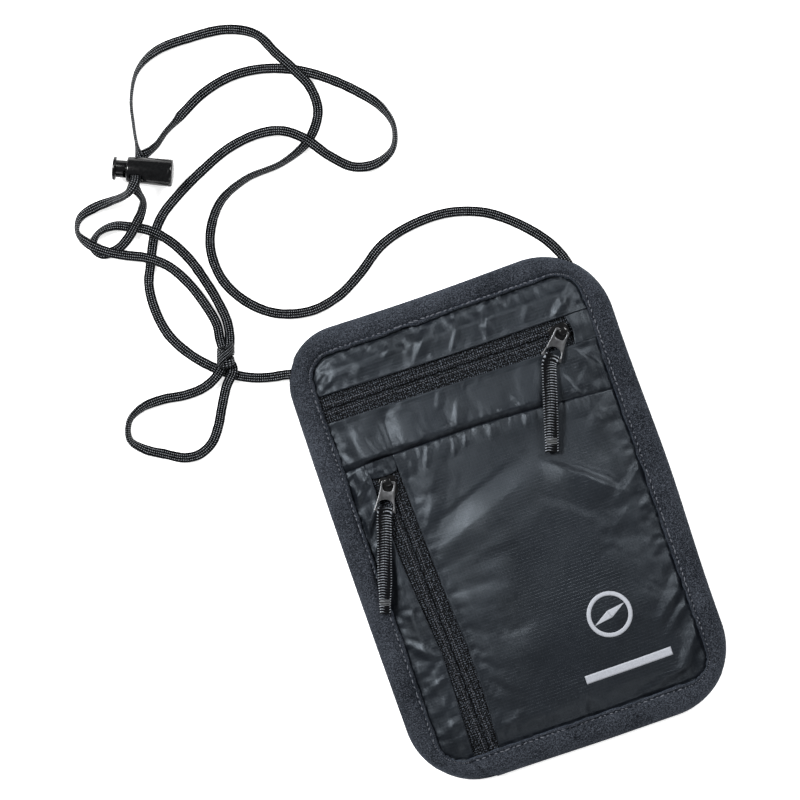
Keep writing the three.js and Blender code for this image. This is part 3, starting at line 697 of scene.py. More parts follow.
def binding():
    """The folded band round the edge, and where its two rows of stitches run."""
    outer = edge_loop(HALF_X, HALF_Y, CORNERS)
    inner = edge_loop(WIN_X, WIN_Y, (WIN_R,) * 4)
    count = len(outer)
    # across the band from its inner edge, and height: over the front, round the edge, back underneath
    profile = [
        (0.0, 2.2), (0.0, 3.1), (0.03, 3.6), (0.075, 3.8), (0.11, 3.55), (0.14, 3.1), (0.17, 3.5), (0.21, 3.95),
        (0.3, 4.4), (0.45, 4.65), (0.6, 4.45), (0.74, 3.9), (0.85, 3.15), (0.93, 2.4), (0.985, 1.7), (0.985, 1.1),
        (0.94, 0.6), (0.85, 0.2),
        (0.7, 0.03), (0.45, 0.0), (0.25, 0.02), (0.19, 0.1), (0.13, 0.3), (0.08, 0.16), (0.03, 0.2), (0.0, 0.7),
    ]
    rows, stitches_front, stitches_back = [], [], []
    total = count + 5  # the far end runs on under the near one
    run = 0.0
    for i in range(total):
        o, n = outer[i % count], inner[i % count]
        last = outer[(i - 1) % count]
        run += float(np.hypot(*(o - last))) if i else 0
        lap = LAP * math.exp(-run / 9.0) if i < count / 2 else 0
        sink = 0.9 * smoothstep(i, total - 14, total - 6)
        length = float(np.hypot(*(o - n)))
        out = (o - n) / length
        pucker = 0.5 + 0.5 * math.cos(2 * math.pi * run / 2.0 + 1.5 * noise.noise((run * 0.2, 0, 0)))
        row = []
        for w, z in profile:
            wob = noise.noise((run * 0.11, w * 3.0, 1.7))
            fine = noise.noise((run * 0.45, w * 6.0, 9.2))
            shift = 0.6 * noise.noise((run * 0.09, 0.3, 4.4)) * (1 - w) + 0.12 * fine
            shift += 0.5 * noise.noise((run * 0.42, 0.9, 2.4)) * max(0, 1 - w / 0.12)
            if z > 2.0:
                z = z + 0.22 * wob + 0.10 * fine - 0.4 * pucker * math.exp(-(((w - 0.14) / 0.06) ** 2))
                z = z + 0.3 * (1 - pucker) * math.exp(-(((w - 0.08) / 0.05) ** 2))
                z = z + lap - sink * 0.6
            elif z < 0.5:
                z = max(0.0, z + 0.05 * fine + sink * 0.5 + lap * 0.3)
            else:
                z = z + lap * 0.5
            p = n + out * (w * length + shift * (0.9 if w < 0.5 else 0.3) + bow(*o) * smoothstep(w, 0.3, 0.9))
            p = p - out * (0.35 * sink if w > 0.9 else 0)
            row.append((p[0], p[1], z))
        rows.append(row)
        stitches_front.append((run, n + out * (0.14 * length), 3.12 + lap))
        stitches_back.append((run, n + out * (0.12 * length), 0.16 + 0.3 * lap))
    verts, faces = loft(rows)
    made = piece("binding_band", verts, faces, "felt", "pouch")
    shade_by_angle(made, 60)
    return made, stitches_front, stitches_back


def thread_row(name, samples, pitch, length, radius, lift, jitter, seed):
    """A row of stitches, each a short bowed thread, along samples of (distance, point, height)."""
    runs = np.array([s[0] for s in samples])
    pts = np.array([[*s[1], s[2]] for s in samples])
    rng = np.random.default_rng(seed)
    verts, faces = [], []
    at = pitch
    while at < runs[-1] - pitch:
        jit = rng.uniform(-jitter, jitter, 3)
        a = np.array([np.interp(at - length / 2 + jit[0], runs, pts[:, k]) for k in range(3)])
        b = np.array([np.interp(at + length / 2 + jit[1], runs, pts[:, k]) for k in range(3)])
        axis = (b - a) / np.linalg.norm(b - a)
        side = np.cross((0, 0, 1), axis)
        side /= np.linalg.norm(side)
        up = np.cross(axis, side)
        a, b = a + side * jit[2] * 0.6, b - side * jit[2] * 0.6
        rings = []
        for t, fat, rise in ((0, 0.45, -0.5), (0.15, 0.9, 0.35), (0.5, 1.0, 0.75), (0.85, 0.9, 0.35), (1, 0.45, -0.5)):
            c = a + (b - a) * t + up * (rise * radius + lift)
            rings.append([c + side * p + up * q for p, q in circle(radius * fat, 6)])
        add_tube(verts, faces, rings)
        at += pitch * (1 + rng.uniform(-0.1, 0.1))
    return piece(name, verts, faces, "stitch", "pouch")


band, front_row, back_row = binding()
thread_row("binding_stitches_front", front_row, 1.9, 1.15, 0.25, 0.18, 0.45, 3)
thread_row("binding_stitches_back", back_row, 3.1, 2.1, 0.2, 0.06, 0.2, 4)
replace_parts(band, "edge_binding", "cord_anchor_right", "cord_anchor_left")

# ------------------------------------------------------------------ shell panels
# Each fold is a creased ridge from its lower to its upper end: x0, y0, x1, y1, height, then how wide the face on its
# left is, which catches the light, and the face on its right, all in millimetres.
FOLDS = {
    "top": [
        (-25, 72, -16.5, 81, 0.85, 1.9, 6.0), (-14.5, 66.5, -3, 81, 0.9, 2.4, 6.0),
        (2.5, 74, 6.5, 80.5, 0.6, 1.3, 4.0), (-0.5, 66, 4.5, 73.5, 0.6, 1.3, 4.0), (13, 65, 18.5, 80, 0.85, 1.8, 6.0),
        (39.5, 65.5, 46.5, 71, 0.8, 2.4, 5.0), (24.5, 75, 26.5, 80, 0.5, 1.2, 3.0),
        (-54, 74.5, -42, 81.5, 0.7, 1.6, 5.0), (-54, 70.5, -47, 76, 0.6, 1.6, 4.0),
        (-31, 76.5, -23, 81, 0.4, 1.6, 4.0), (-54, 67, -45, 71, 0.6, 2.6, 4.0), (28, 67, 34, 75, 0.35, 2.4, 5.0),
        (-38, 67, -33, 74, 0.3, 3.0, 6.0), (44, 72, 52, 78, 0.4, 2.0, 4.0),
    ],
    "yoke": [
        (-23.5, 35, -24.8, 53, 2.1, 8.5, 8.0), (-39, 35, -44, 49, 1.7, 7.5, 4.5),
        (-12.5, 47.5, -8.5, 55, 0.7, 1.6, 5.0), (-8.5, 36.5, -4, 48.5, 0.8, 1.7, 6.0),
        (18.8, 36, 15.5, 43.5, 0.6, 1.6, 4.0), (9.6, 36, 9.2, 40, 0.4, 1.0, 2.5), (53, 40, 42, 53, 0.7, 5.0, 2.4),
        (41, 34, 36, 44, 0.6, 4.0, 1.8), (-1, 51, 0.5, 55, 0.35, 0.9, 2.0), (5, 51, 5.8, 55, 0.3, 0.8, 2.0),
        (26, 40, 30, 52, 0.3, 3.0, 6.0),
    ],
    "side": [
        (-55, 21, -44, 34, 1.7, 5.0, 4.0), (-55, 31, -47, 38, 0.8, 2.4, 2.5), (-55, 9, -45, 21, 1.5, 5.0, 4.0),
        (-54, 2, -50, 7, 0.5, 1.6, 3.0), (-42, -40.5, -52.5, -31.5, 0.9, 2.6, 5.0),
        (-54, -47, -50, -40, 0.6, 1.4, 4.0), (-50, -50.5, -40.5, -48, 0.55, 1.5, 5.0),
        (-52, -69.5, -41.5, -64.5, 0.8, 2.6, 6.0), (-47, -60, -43, -54, 0.4, 2.0, 4.0),
        (-50, -22, -46, -8, 0.4, 3.0, 4.0),
    ],
    "main": [
        (44, -4, 20, 15, 1.35, 11.0, 4.8), (39, -7, 56, 5, 0.8, 2.6, 9.0), (39, -55, 56, -40, 1.25, 3.6, 6.0),
        (41, -60, 55, -49, 0.5, 2.0, 5.0), (22, -79, 45, -73, 0.9, 2.4, 6.0), (42, -74, 56.5, -58, 1.15, 3.0, 7.0),
        (31, -20, 43, -10, 0.35, 2.0, 7.0), (47, -12, 55, -8, 0.35, 2.0, 4.0), (-31, -3, 14, 13, 0.8, 8.0, 16.0),
        (-20, -70, -25, -18, 0.5, 4.0, 12.0), (38, 22, 55, 31, 0.5, 4.0, 8.0), (-31, 6, -18, 30, 0.7, 9.0, 10.0),
        (-23.5, 28, -20, 37, 0.5, 1.4, 4.0), (-12, 29, -9.5, 37, 0.5, 1.2, 3.5), (-7, 31, -4.5, 37, 0.5, 1.2, 3.0),
        (17, 30, 19, 36.5, 0.4, 1.2, 3.0), (-29, 27, -26.5, 37, 0.4, 1.5, 4.0), (3, 30, 5, 37, 0.3, 1.4, 3.0),
        (2, -81, 5.5, -69, 0.35, 3.0, 4.0), (-28, -80, -24, -71, 0.25, 2.0, 5.0), (-12, -81, -9, -72, 0.3, 2.0, 4.0),
    ],
}


def fold_height(folds, x, y):
    """Height of the folds' sharp-crested ridges, which taper away at both ends."""
    total = 0.0
    for x0, y0, x1, y1, high, left, right in folds:
        dx, dy = x1 - x0, y1 - y0
        span = math.hypot(dx, dy)
        t = ((x - x0) * dx + (y - y0) * dy) / (span * span)
        if not -0.15 < t < 1.15:
            continue
        off = ((x - x0) * dy - (y - y0) * dx) / span
        off += noise.noise((x * 0.16, y * 0.16, high * 5)) * min(left, 3.0) * 0.22
        taper = smoothstep(t, -0.12, 0.35) * (1 - smoothstep(t, 0.75, 1.14))
        high = min(high, 0.38 * left)
        wide = (left if off < 0 else right) * (0.55 + 0.45 * taper)
        k = max(0.0, 1 - abs(off) / wide)
        total += high * taper * (0.85 * k + 0.15 * k * k * (3 - 2 * k))
        if left > 7 and off < 0:
            total -= 0.35 * high * taper * smoothstep(-off, 0, 0.8 * left) * (1 - smoothstep(-off, left, 1.35 * left))
        if off > 0:
            total -= 0.4 * high * taper * math.exp(-(((off - 0.5 * wide) / (0.28 * wide)) ** 2))
    return total


def buckle(grid, pinned, stretch, frames, push):
    """Lets a grid of points relax as cloth that is a little too long for its sewn edges, and returns where it goes."""
    rows, cols = grid.shape[:2]
    scale = 20.0  # cloth simulation works best on things the size of a room
    verts = grid.reshape(-1, 3) * MM * scale
    mesh = bpy.data.meshes.new("cloth_work")
    mesh.from_pydata([tuple(v) for v in verts], [], grid_faces(rows, cols))
    made = link("cloth_work", mesh)
    group = made.vertex_groups.new(name="sewn")
    for i, hold in enumerate(pinned.ravel()):
        if hold > 0:
            group.add([i], float(hold), "REPLACE")
    cloth = made.modifiers.new("cloth", "CLOTH")
    s = cloth.settings
    s.quality = 6
    s.mass = 0.15
    s.tension_stiffness = s.compression_stiffness = 25
    s.shear_stiffness = 12
    s.bending_stiffness = 0.25
    s.air_damping = 3
    s.vertex_group_mass = "sewn"
    s.pin_stiffness = 1
    s.shrink_min = s.shrink_max = -stretch
    s.effector_weights.gravity = push
    cloth.collision_settings.use_collision = False
    cloth.collision_settings.use_self_collision = False
    scene = bpy.context.scene
    scene.gravity = (0, 0, 9.81)
    cloth.point_cache.frame_end = frames + 1
    for f in range(1, frames + 1):
        scene.frame_set(f)
    graph = bpy.context.evaluated_depsgraph_get()
    flat = np.empty(rows * cols * 3, np.float32)
    made.evaluated_get(graph).data.vertices.foreach_get("co", flat)
    out = flat.reshape(rows, cols, 3).astype(float) / (MM * scale)
    scene.frame_set(1)
    bpy.data.objects.remove(made)
    bpy.data.meshes.remove(mesh)
    return out


def upsample(grid, times):
    """A finer grid by smooth interpolation between its points."""
    for axis in (0, 1):
        n = grid.shape[axis]
        t = np.linspace(0, n - 1, (n - 1) * times + 1)
        i = np.clip(t.astype(int), 0, n - 2)
        f = t - i
        shape = [1, 1, 1]
        shape[axis] = len(t)
        f = f.reshape(shape)
        p0, p1, p2, p3 = (np.take(grid, np.clip(i + k, 0, n - 1), axis=axis) for k in (-1, 0, 1, 2))
        square, cube = 2 * p0 - 5 * p1 + 4 * p2 - p3, 3 * p1 - p0 - 3 * p2 + p3
        grid = 0.5 * (2 * p1 + (p2 - p0) * f + square * f**2 + cube * f**3)
    return grid


def lerp_line(points, at):
    """The value at a place along a line given by (place, value) points."""
    return float(np.interp(at, *zip(*points)))


UPPER_BAND = [(-70, 66.6), (0, 65.1), (70, 65)]
LOWER_BAND = [(-70, 55.8), (0, 54.4), (40, 53.7), (70, 53.3)]
CROSS_SEAM = [(-70, 35.9), (-33, 37), (0, 37), (20, 36), (40, 34.5), (70, 32)]
SIDE_LEFT = [(-95, -42.4), (-60, -41.1), (-40, -40.6), (-20, -42.4), (0, -43.9), (37, -44.2)]
SIDE_RIGHT = [(-95, -32.2), (-60, -30.5), (-40, -30.5), (-20, -31.8), (0, -32.6), (37, -33.5)]
BELOW_SEAM = [(x, y - 0.2) for x, y in CROSS_SEAM]
LEFT_END, RIGHT_END, LOW_END, HIGH_END = [(0, -60.5)], [(0, 60.5)], [(0, -88)], [(0, 88)]  # under the binding
PANELS = {
    "top": dict(left=LEFT_END, right=RIGHT_END, low=UPPER_BAND, high=HIGH_END),
    "yoke": dict(left=LEFT_END, right=RIGHT_END, low=CROSS_SEAM, high=LOWER_BAND),
    "side": dict(left=LEFT_END, right=SIDE_LEFT, low=LOW_END, high=BELOW_SEAM),
    "main": dict(left=SIDE_RIGHT, right=RIGHT_END, low=LOW_END, high=BELOW_SEAM),
}
PUCKERS = {"top": 0.22, "yoke": 0.15, "side": 0.3, "main": 0.22}
FREE_SIDES = {"top": ("low",), "yoke": ("high", "low"), "side": ("right", "high"), "main": ("left", "high")}
STRETCH = {"top": 0.004, "yoke": 0.003, "side": 0.004, "main": 0.003}
CLOTH_FRAMES = 26
CLOTH_PUSH = {"top": 0.02, "yoke": 0.02, "side": 0.02, "main": 0.05}  # the share of gravity that lifts the cloth
MOST_SHIFT = 0.8  # how far the cloth may move a point, in millimetres
# The highest the yoke can stand under the top pull's strap, by distance up the pouch.
STRAP_CLEARANCE = [(30, 8.2), (38, 7.6), (43, 6.7), (50, 5.45), (56, 5.2)]


def panel_grid(name, pitch=2.0):
    """Points over a panel before its creases, and how far each is from the nearest seam."""
    left, right, low, high = (PANELS[name][side] for side in ("left", "right", "low", "high"))
    y_span = lerp_line(high, 0) - lerp_line(low, 0)
    x_span = lerp_line(right, 0) - lerp_line(left, 0)
    rows, cols = int(round(y_span / pitch)) + 1, int(round(x_span / pitch)) + 1
    grid = np.zeros((rows, cols, 3))
    edge = np.zeros((rows, cols))
    for r in range(rows):
        t = r / (rows - 1)
        for c in range(cols):
            s = c / (cols - 1)
            y = lerp_line(low, 0) + t * y_span
            x = lerp_line(left, y) + s * (lerp_line(right, y) - lerp_line(left, y))
            y = lerp_line(low, x) + t * (lerp_line(high, x) - lerp_line(low, x))
            near = {"left": s * x_span, "right": (1 - s) * x_span, "low": t * y_span, "high": (1 - t) * y_span}
            sewn = min([near[k] for k in FREE_SIDES[name]] + [max(0.0, inside(x, y))])
            x, y = hold_in(x, y)
            z = lying(x, y)
            if name == "main":
                z += fullness(x, y)
            elif name == "yoke":
                z += 1.45 * smoothstep(sewn, 0, 1.4) * (1 - smoothstep(y, 37, 51)) * (1 - smoothstep(x, 20, 42))
            along = x + 0.35 * y if abs(y) / WIN_Y > abs(x) / WIN_X else y - 0.25 * x
            free = max(0.0, inside(x, y))
            tuck = PUCKERS[name] * math.exp(-(((free - 2.2) / 2.6) ** 2))
            z += tuck * (0.7 - abs(noise.noise((along * 0.21, free * 0.05, 2.2))) * 2.4)
            grid[r, c] = (x, y, z)
            edge[r, c] = sewn
    return grid, edge


def seam_line(name, x, y):
    """The cloth is drawn down to the cross seam and puckers along it; beside a zip it stands up in a fold."""
    total = 0.0
    if name == "side" and y > 29:
        total -= 1.1 * math.exp(-(((x + 45.6) / 0.55) ** 2)) * smoothstep(y, 29, 31)
    if name in ("yoke", "side", "main"):
        off = abs(y - lerp_line(CROSS_SEAM, x))
        drawn = 0.5 + 0.5 * noise.noise((x * 0.55, 0.0, 3.0))
        total -= (0.15 + 0.3 * drawn) * math.exp(-((off / 0.3) ** 2))
        total -= 0.8 * max(0.0, noise.noise((x * 0.9, 2.0, 6.0))) * math.exp(-((off / 1.1) ** 2))
        total += 0.4 * noise.noise((x * 0.4, 0.7, 8.0)) * math.exp(-(((off - 2.2) / 2.4) ** 2))
    if name == "top":
        off = y - lerp_line(UPPER_BAND, x)
    elif name == "yoke":
        off = lerp_line(LOWER_BAND, x) - y
    elif name == "side":
        off = lerp_line(SIDE_LEFT, y) - x
    else:
        off = x - lerp_line(SIDE_RIGHT, y)
    total += 0.14 * noise.noise((x * 0.35, y * 0.35, 5.0)) * math.exp(-((off / 4) ** 2))
    return total + 0.35 * math.exp(-((off / 1.4) ** 2))


def shell_panel(name):
    """One panel of the front: cloth settled over what is under it, creased, and hemmed where it meets a zip."""
    grid, edge = panel_grid(name)
    pinned = np.clip(1 - edge / 2.2, 0, 1)
    pinned[edge <= 0.6] = 1
    shift = buckle(grid, pinned, STRETCH[name], CLOTH_FRAMES, CLOTH_PUSH[name]) - grid
    rise = np.tanh(shift[..., 2] / MOST_SHIFT) * MOST_SHIFT
    shift[..., 2] = np.where(rise < 0, rise * 0.55, rise)
    shift[..., :2] = np.clip(shift[..., :2], -MOST_SHIFT, MOST_SHIFT)
    grid = grid + shift
    fine = upsample(grid, 4)
    sewn = upsample(edge[..., None], 4)[..., 0]
    rows, cols = fine.shape[:2]
    for r in range(rows):
        for c in range(cols):
            x, y, z = fine[r, c]
            free = max(0.0, inside(x, y))
            damp = smoothstep(free, 0.5, 5)
            wrinkle = noise.noise((x * 0.06, y * 0.06, 2.0)) * 0.5
            crease = fold_height(FOLDS[name], x, y) * smoothstep(sewn[r, c], 0.0, 1.6)
            fine[r, c, 2] = z + wrinkle * damp + crease + seam_line(name, x, y)
            fine[r, c, 2] -= (0.45 + 0.7 * noise.noise((x * 0.5, y * 0.5, 4.0))) * math.exp(-((free / 0.7) ** 2))
            if inside(x, y) < 0.3:
                fine[r, c, 2] = min(fine[r, c, 2], 2.6)
            if name == "yoke":
                room = lerp_line(STRAP_CLEARANCE, y)
                fine[r, c, 2] = room - 0.3 * math.log1p(math.exp((room - fine[r, c, 2]) / 0.3))
    verts = [tuple(p) for p in fine.reshape(-1, 3)]
    faces = grid_faces(rows, cols)
    fold_hems(verts, faces, rows, cols, FREE_SIDES[name], ((-0.22, -0.14), (-0.5, 0.0), (-0.62, 0.5), (-0.6, 2.4)))
    made = piece(f"shell_{name}", verts, faces, "shell", "pouch")
    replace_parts(made, f"front_{name}_panel")
    return made


shells = {name: shell_panel(name) for name in PANELS}

# ------------------------------------------------------------------ zips
# u runs along a zip towards its closed end, v across it to the left of that.
ZIPS = {
    "top": dict(at=(0.0, 60.2), turn=math.radians(-0.7), parked=41.6, tape=(-61, 61), chain=(-52.5, 44.0),
                crown=math.radians(22.7), tab=math.radians(227.7), strap=math.radians(25.8), shift=-0.24,
                names=("upper", "lower"), length=36),
    "side": dict(at=(-37.8, 0.0), turn=math.radians(91.7), parked=27.9, tape=(-88, 43), chain=(-79.5, 33),
                 crown=math.radians(-1.7), tab=math.radians(153.3), strap=math.radians(6.6), shift=0.24,
                 names=("left", "right"), length=39),
}
PIVOT_Z = 6.3  # height of a pull tab's pin
BAR = Vector((10.6, 0, PIVOT_Z))  # the bar that the strap goes round, in the tab's own frame
RIB_PITCH = 1.05  # from one rib of a strap to the next


def zip_frame(z, u=0.0):
    """A zip's own frame, in millimetres, at a distance along it."""
    c, s = math.cos(z["turn"]), math.sin(z["turn"])
    return Matrix.Translation((z["at"][0] + u * c, z["at"][1] + u * s, 0)) @ Matrix.Rotation(z["turn"], 4, "Z")


def tape_height(x, y):
    """Height of the zip tapes, which sink under the binding at their ends."""
    return 1.95 + 2.2 * smoothstep(inside(x, y), 1.5, 8.8)


def zip_tape(name, z, sign):
    """Half of the tape: a knitted strip with a low ridge over its coil, turned down along the chain."""
    u0, u1 = z["tape"]
    steps = int((u1 - u0) / 0.55)
    across = [0.1, 0.16, 0.3, 0.65, 1.0, 1.35, 1.65, 1.95, 2.4, 3.0, 3.6, 4.2, 4.8, 5.4, 6.2, 7.0, 8.0]
    drops = (0.4, 0.12, 0.02)  # how far the first points turn down into the chain
    frame_at = zip_frame(z)
    verts = []
    for i in range(steps + 1):
        u = u0 + (u1 - u0) * i / steps
        for j, v in enumerate(across):
            p = frame_at @ Vector((u, sign * v, 0))
            x, y = hold_in(p.x, p.y)
            height = tape_height(x, y) + 0.36 * math.exp(-(((v - 0.8) / 0.75) ** 2))
            height -= 0.14 * math.exp(-(((v - 1.65) / 0.2) ** 2))
            if j < len(drops):
                height -= drops[j]
            else:
                height += 0.03 * math.sin(u * 2 * math.pi / 1.1 + (j % 2) * math.pi)
                height += 0.03 * noise.noise((x * 0.12, y * 0.12, 5.0))
            verts.append((x, y, height))
    made = piece(name, verts, grid_faces(steps + 1, len(across), flip=sign > 0), "tape", "pouch")
    weave_map(made, np.linspace(u0, u1, steps + 1), [sign * v for v in across])
    return made


def zip_teeth(name, z, pitch=1.15, radius=0.36):
    """The coil's turns where they show between the two halves of the tape."""
    u, u1 = z["chain"]
    frame_at = zip_frame(z)
    verts, faces = [], []
    while u < u1:
        for sign in (1, -1):
            here = u + (pitch / 2 if sign < 0 else 0)
            rings = []
            for v, fat in ((0.36, 0.5), (0.42, 0.9), (0.7, 1.0), (1.2, 1.0), (1.9, 0.9), (1.95, 0.5)):
                p = frame_at @ Vector((here, sign * v, 0))
                level = tape_height(p.x, p.y) - 0.33
                ring = []
                for along, up in circle(radius * fat, 8):
                    q = frame_at @ Vector((here + along, sign * v, 0))
                    ring.append((q.x, q.y, level + up))
                rings.append(ring)
            add_tube(verts, faces, rings, flip=sign > 0)
        u += pitch
    piece(name, verts, faces, "coil", "pouch")


def tape_stitches(name, z, v, pitch):
    """The line of stitches along a tape."""
    u0, u1 = z["chain"]
    frame_at = zip_frame(z)
    samples = []
    for u in np.arange(u0, u1, 0.8):
        p = frame_at @ Vector((u, v, 0))
        samples.append((u - u0, np.array((p.x, p.y)), tape_height(p.x, p.y) + 0.2))
    thread_row(name, samples, pitch, pitch * 0.6, 0.13, -0.08, 0.08, 5)


def crown(name, z, body):
    """The bridge on top of the slider that holds the pull tab."""
    frame_at = zip_frame(z, z["parked"]) @ Matrix.Rotation(z["crown"], 4, "Z")
    low, steps = 5.2, 24
    rows = []
    for k in range(steps + 1):
        a = math.pi * (1 - k / steps)
        u = 1.72 * power(math.cos(a), 0.62)
        rise = 2.28 * abs(math.sin(a)) ** 0.55
        up = Vector((u * 0.9, 0, rise * 0.9 + 0.2)).normalized()
        wide = 0.95 + 0.35 * math.sin(math.pi * k / steps) ** 2
        rows.append([
            tuple(frame_at @ (Vector((u, wide * power(c, 0.6), low + rise)) + up * (0.36 * power(s, 0.7))))
            for c, s in circle(1, 12)
        ])
    verts, faces = loft(rows)
    piece(name, verts, [f[::-1] for f in faces], "enamel", body)


def in_metres(frame_at):
    """A frame in millimetres as one that places a mesh in metres."""
    return Matrix.Translation(frame_at.to_translation() * MM) @ frame_at.to_3x3().to_4x4()


def slider(name, z, body):
    """Top plate and base, side rails, the web that parts the coils, and the crown; returns the top plate."""
    place = in_metres(zip_frame(z, z["parked"]))

    def part(kind, outline, middle, half, bevel):
        return plate(f"{name}_{kind}", [outline], middle, half, bevel, "enamel", body, place)

    plan = rounded(
        [(-5.3, -2.3), (-1.0, -3.15), (1.6, -3.15), (2.35, -1.6), (2.35, 1.6), (1.6, 3.15), (-1.0, 3.15), (-5.3, 2.3)],
        [1.0, 2.0, 1.2, 0.9, 0.9, 1.2, 2.0, 1.0],
    )
    rail = [(-4.9, 2.05), (-1.0, 2.95), (1.3, 2.95), (1.3, 3.2), (-1.1, 3.2), (-5.2, 2.35)]
    top = part("plate", plan, 5.05, 0.44, 0.22)
    part("base", plan, 2.3, 0.38, 0.15)
    part("rail_left", rail[::-1], 4.62, 0.22, 0.08)
    part("rail_right", [(x, -y) for x, y in rail], 4.62, 0.22, 0.08)
    part("web", [(-2.1, -0.2), (2.1, -0.2), (2.1, 0.2), (-2.1, 0.2)], 3.65, 1.1, 0.05)
    crown(f"{name}_crown", z, body)
    return top


def tab_frame(z):
    """The pull tab's own frame: its pin is at the origin in plan, and it points along x."""
    return zip_frame(z, z["parked"]) @ Matrix.Rotation(z["tab"], 4, "Z")


def pull_tab(name, z, body):
    """The metal tab: an eye round the crown and a curved slot for the strap."""
    s = z["shift"]
    plan = rounded(
        [(-0.5, s - 2.75), (3.4, s - 2.85), (6.6, -3.2), (9.2, -3.65), (11.25, -4.15), (11.1, 0), (11.25, 4.15),
         (9.2, 3.65), (6.6, 3.2), (3.4, s + 2.85), (-0.5, s + 2.75)],
        [0.9, 2.0, 2.0, 2.0, 0.45, 1.0, 0.45, 2.0, 2.0, 2.0, 0.9],
    )
    eye = rounded([(0.5, s - 2.05), (3.5, s - 1.95), (3.5, s + 1.95), (0.5, s + 2.05)], [0.4, 1.6, 1.6, 0.4])[::-1]
    slot = [(10.1, 3.15), (9.3, 3.1)]
    slot += [(9.3 - 2.7 * math.sin(a), 3.1 * math.cos(a)) for a in np.linspace(0.15, math.pi - 0.15, 15)]
    slot += [(9.3, -3.1), (10.1, -3.15)]
    return plate(name, [plan, eye, slot], PIVOT_Z, 0.5, 0.2, "gunmetal", body, in_metres(tab_frame(z)))


def strap(name, z, body, length, rise, narrow=0.0):
    """Folded grosgrain: one ribbon that comes back under itself round the bar of the pull tab."""
    f = tab_frame(z)
    bend = z["strap"]
    stations = []

    def at(r):
        """Plan position and heading at a distance from the bar; the ribbon turns aside just past it."""
        turn = bend * smoothstep(r, 0.6, 4.5)
        n = max(1, int(abs(r) / 0.5))
        p = Vector((0, 0))
        for k in range(n):
            q = r * (k + 0.5) / n
            a = bend * smoothstep(q, 0.6, 4.5)
            p += Vector((math.cos(a), math.sin(a))) * (r / n)
        return p, turn

    def add(r, h, nx, nz, s):
        p, turn = at(max(r, 0)) if r > 0 else (Vector((r, 0)), 0)
        heading = Vector((math.cos(turn), math.sin(turn), 0))
        centre = Vector((p.x, p.y, h + rise(max(r, 0) / length)))
        stations.append((centre, Vector((-math.sin(turn), math.cos(turn), 0)), heading * nx + Vector((0, 0, nz)), s))

    step, near, turn_radius = 0.3, 1.2, 1.03  # near is where the ribbon starts round the bar
    s = 0.0
    for r in np.arange(length - 0.8, near, -step):
        add(r, -0.34, 0, -1, s)
        s += step
    for k in range(1, 16):
        a = math.radians(-60 - 240 * k / 16)
        add(turn_radius * math.cos(a), turn_radius * math.sin(a) * 0.95, math.cos(a), math.sin(a), s)
        s += turn_radius * math.radians(15)
    for r in np.arange(near, length, step):
        add(r, 0.34 + 0.12 * smoothstep(length - r, 3.2, 0.5), 0, 1, s)
        s += step
    total = s
    rows = []
    for c, side, up, s in stations:
        row = []
        part = s / total
        half = 2.72 - narrow * smoothstep(abs(part - 0.5), 0.3, 0.5)
        rib = 0.10 * math.cos(2 * math.pi * s / RIB_PITCH)
        wav = 0.12 * noise.noise((s * 0.2, 3.0, z["tab"]))
        for k in range(25):
            a = -1 + 2 * k / 24
            edge = max(0.0, (abs(a) - 0.86) / 0.14)
            selvedge = 0.06 * (abs(a) > 0.84) * math.cos(2 * math.pi * s / RIB_PITCH + 1.2)
            t = 0.23 + (rib if abs(a) < 0.84 else selvedge) * (1 - edge) - 0.12 * edge
            row.append(f @ (BAR + c + side * (a * half + wav) + up * t))
        for k in range(25):
            a = 1 - 2 * k / 24
            row.append(f @ (BAR + c + side * (a * half + wav) - up * 0.2))
        rows.append(row)
    verts, faces = loft(rows)
    made = piece(name, [tuple(v) for v in verts], faces, "webbing", body)
    spread = [-2.7 + 5.4 * k / 24 for k in range(25)]
    weave_map(made, [s for _, _, _, s in stations], spread + spread[::-1])
    return made, at


def bar_tack(name, f, at, body, first, last, rise_at):
    """Dense cross stitches that close the folded strap."""
    verts, faces = [], []
    rng = np.random.default_rng(11)
    up = Vector((0, 0, 1))
    for r in np.arange(first, last, 0.62):
        p, turn = at(r)
        heading, side = Vector((math.cos(turn), math.sin(turn), 0)), Vector((-math.sin(turn), math.cos(turn), 0))
        half = 2.1 + rng.uniform(-0.15, 0.15)
        middle = BAR + Vector((p.x, p.y, rise_at(r)))
        a, b = f @ (middle - side * half), f @ (middle + heading * 0.2 + side * half)
        out = (b - a).normalized().cross(up)
        rings = []
        for t, lift in ((0, -0.25), (0.08, 0.0), (0.5, 0.04), (0.92, 0.0), (1, -0.25)):
            c = a.lerp(b, t) + up * lift
            rings.append([tuple(c + out * (0.17 * across) + up * (0.16 * high)) for across, high in circle(1, 6)])
        add_tube(verts, faces, rings, flip=True, ends=False)
    piece(name, verts, faces, "tack", body)


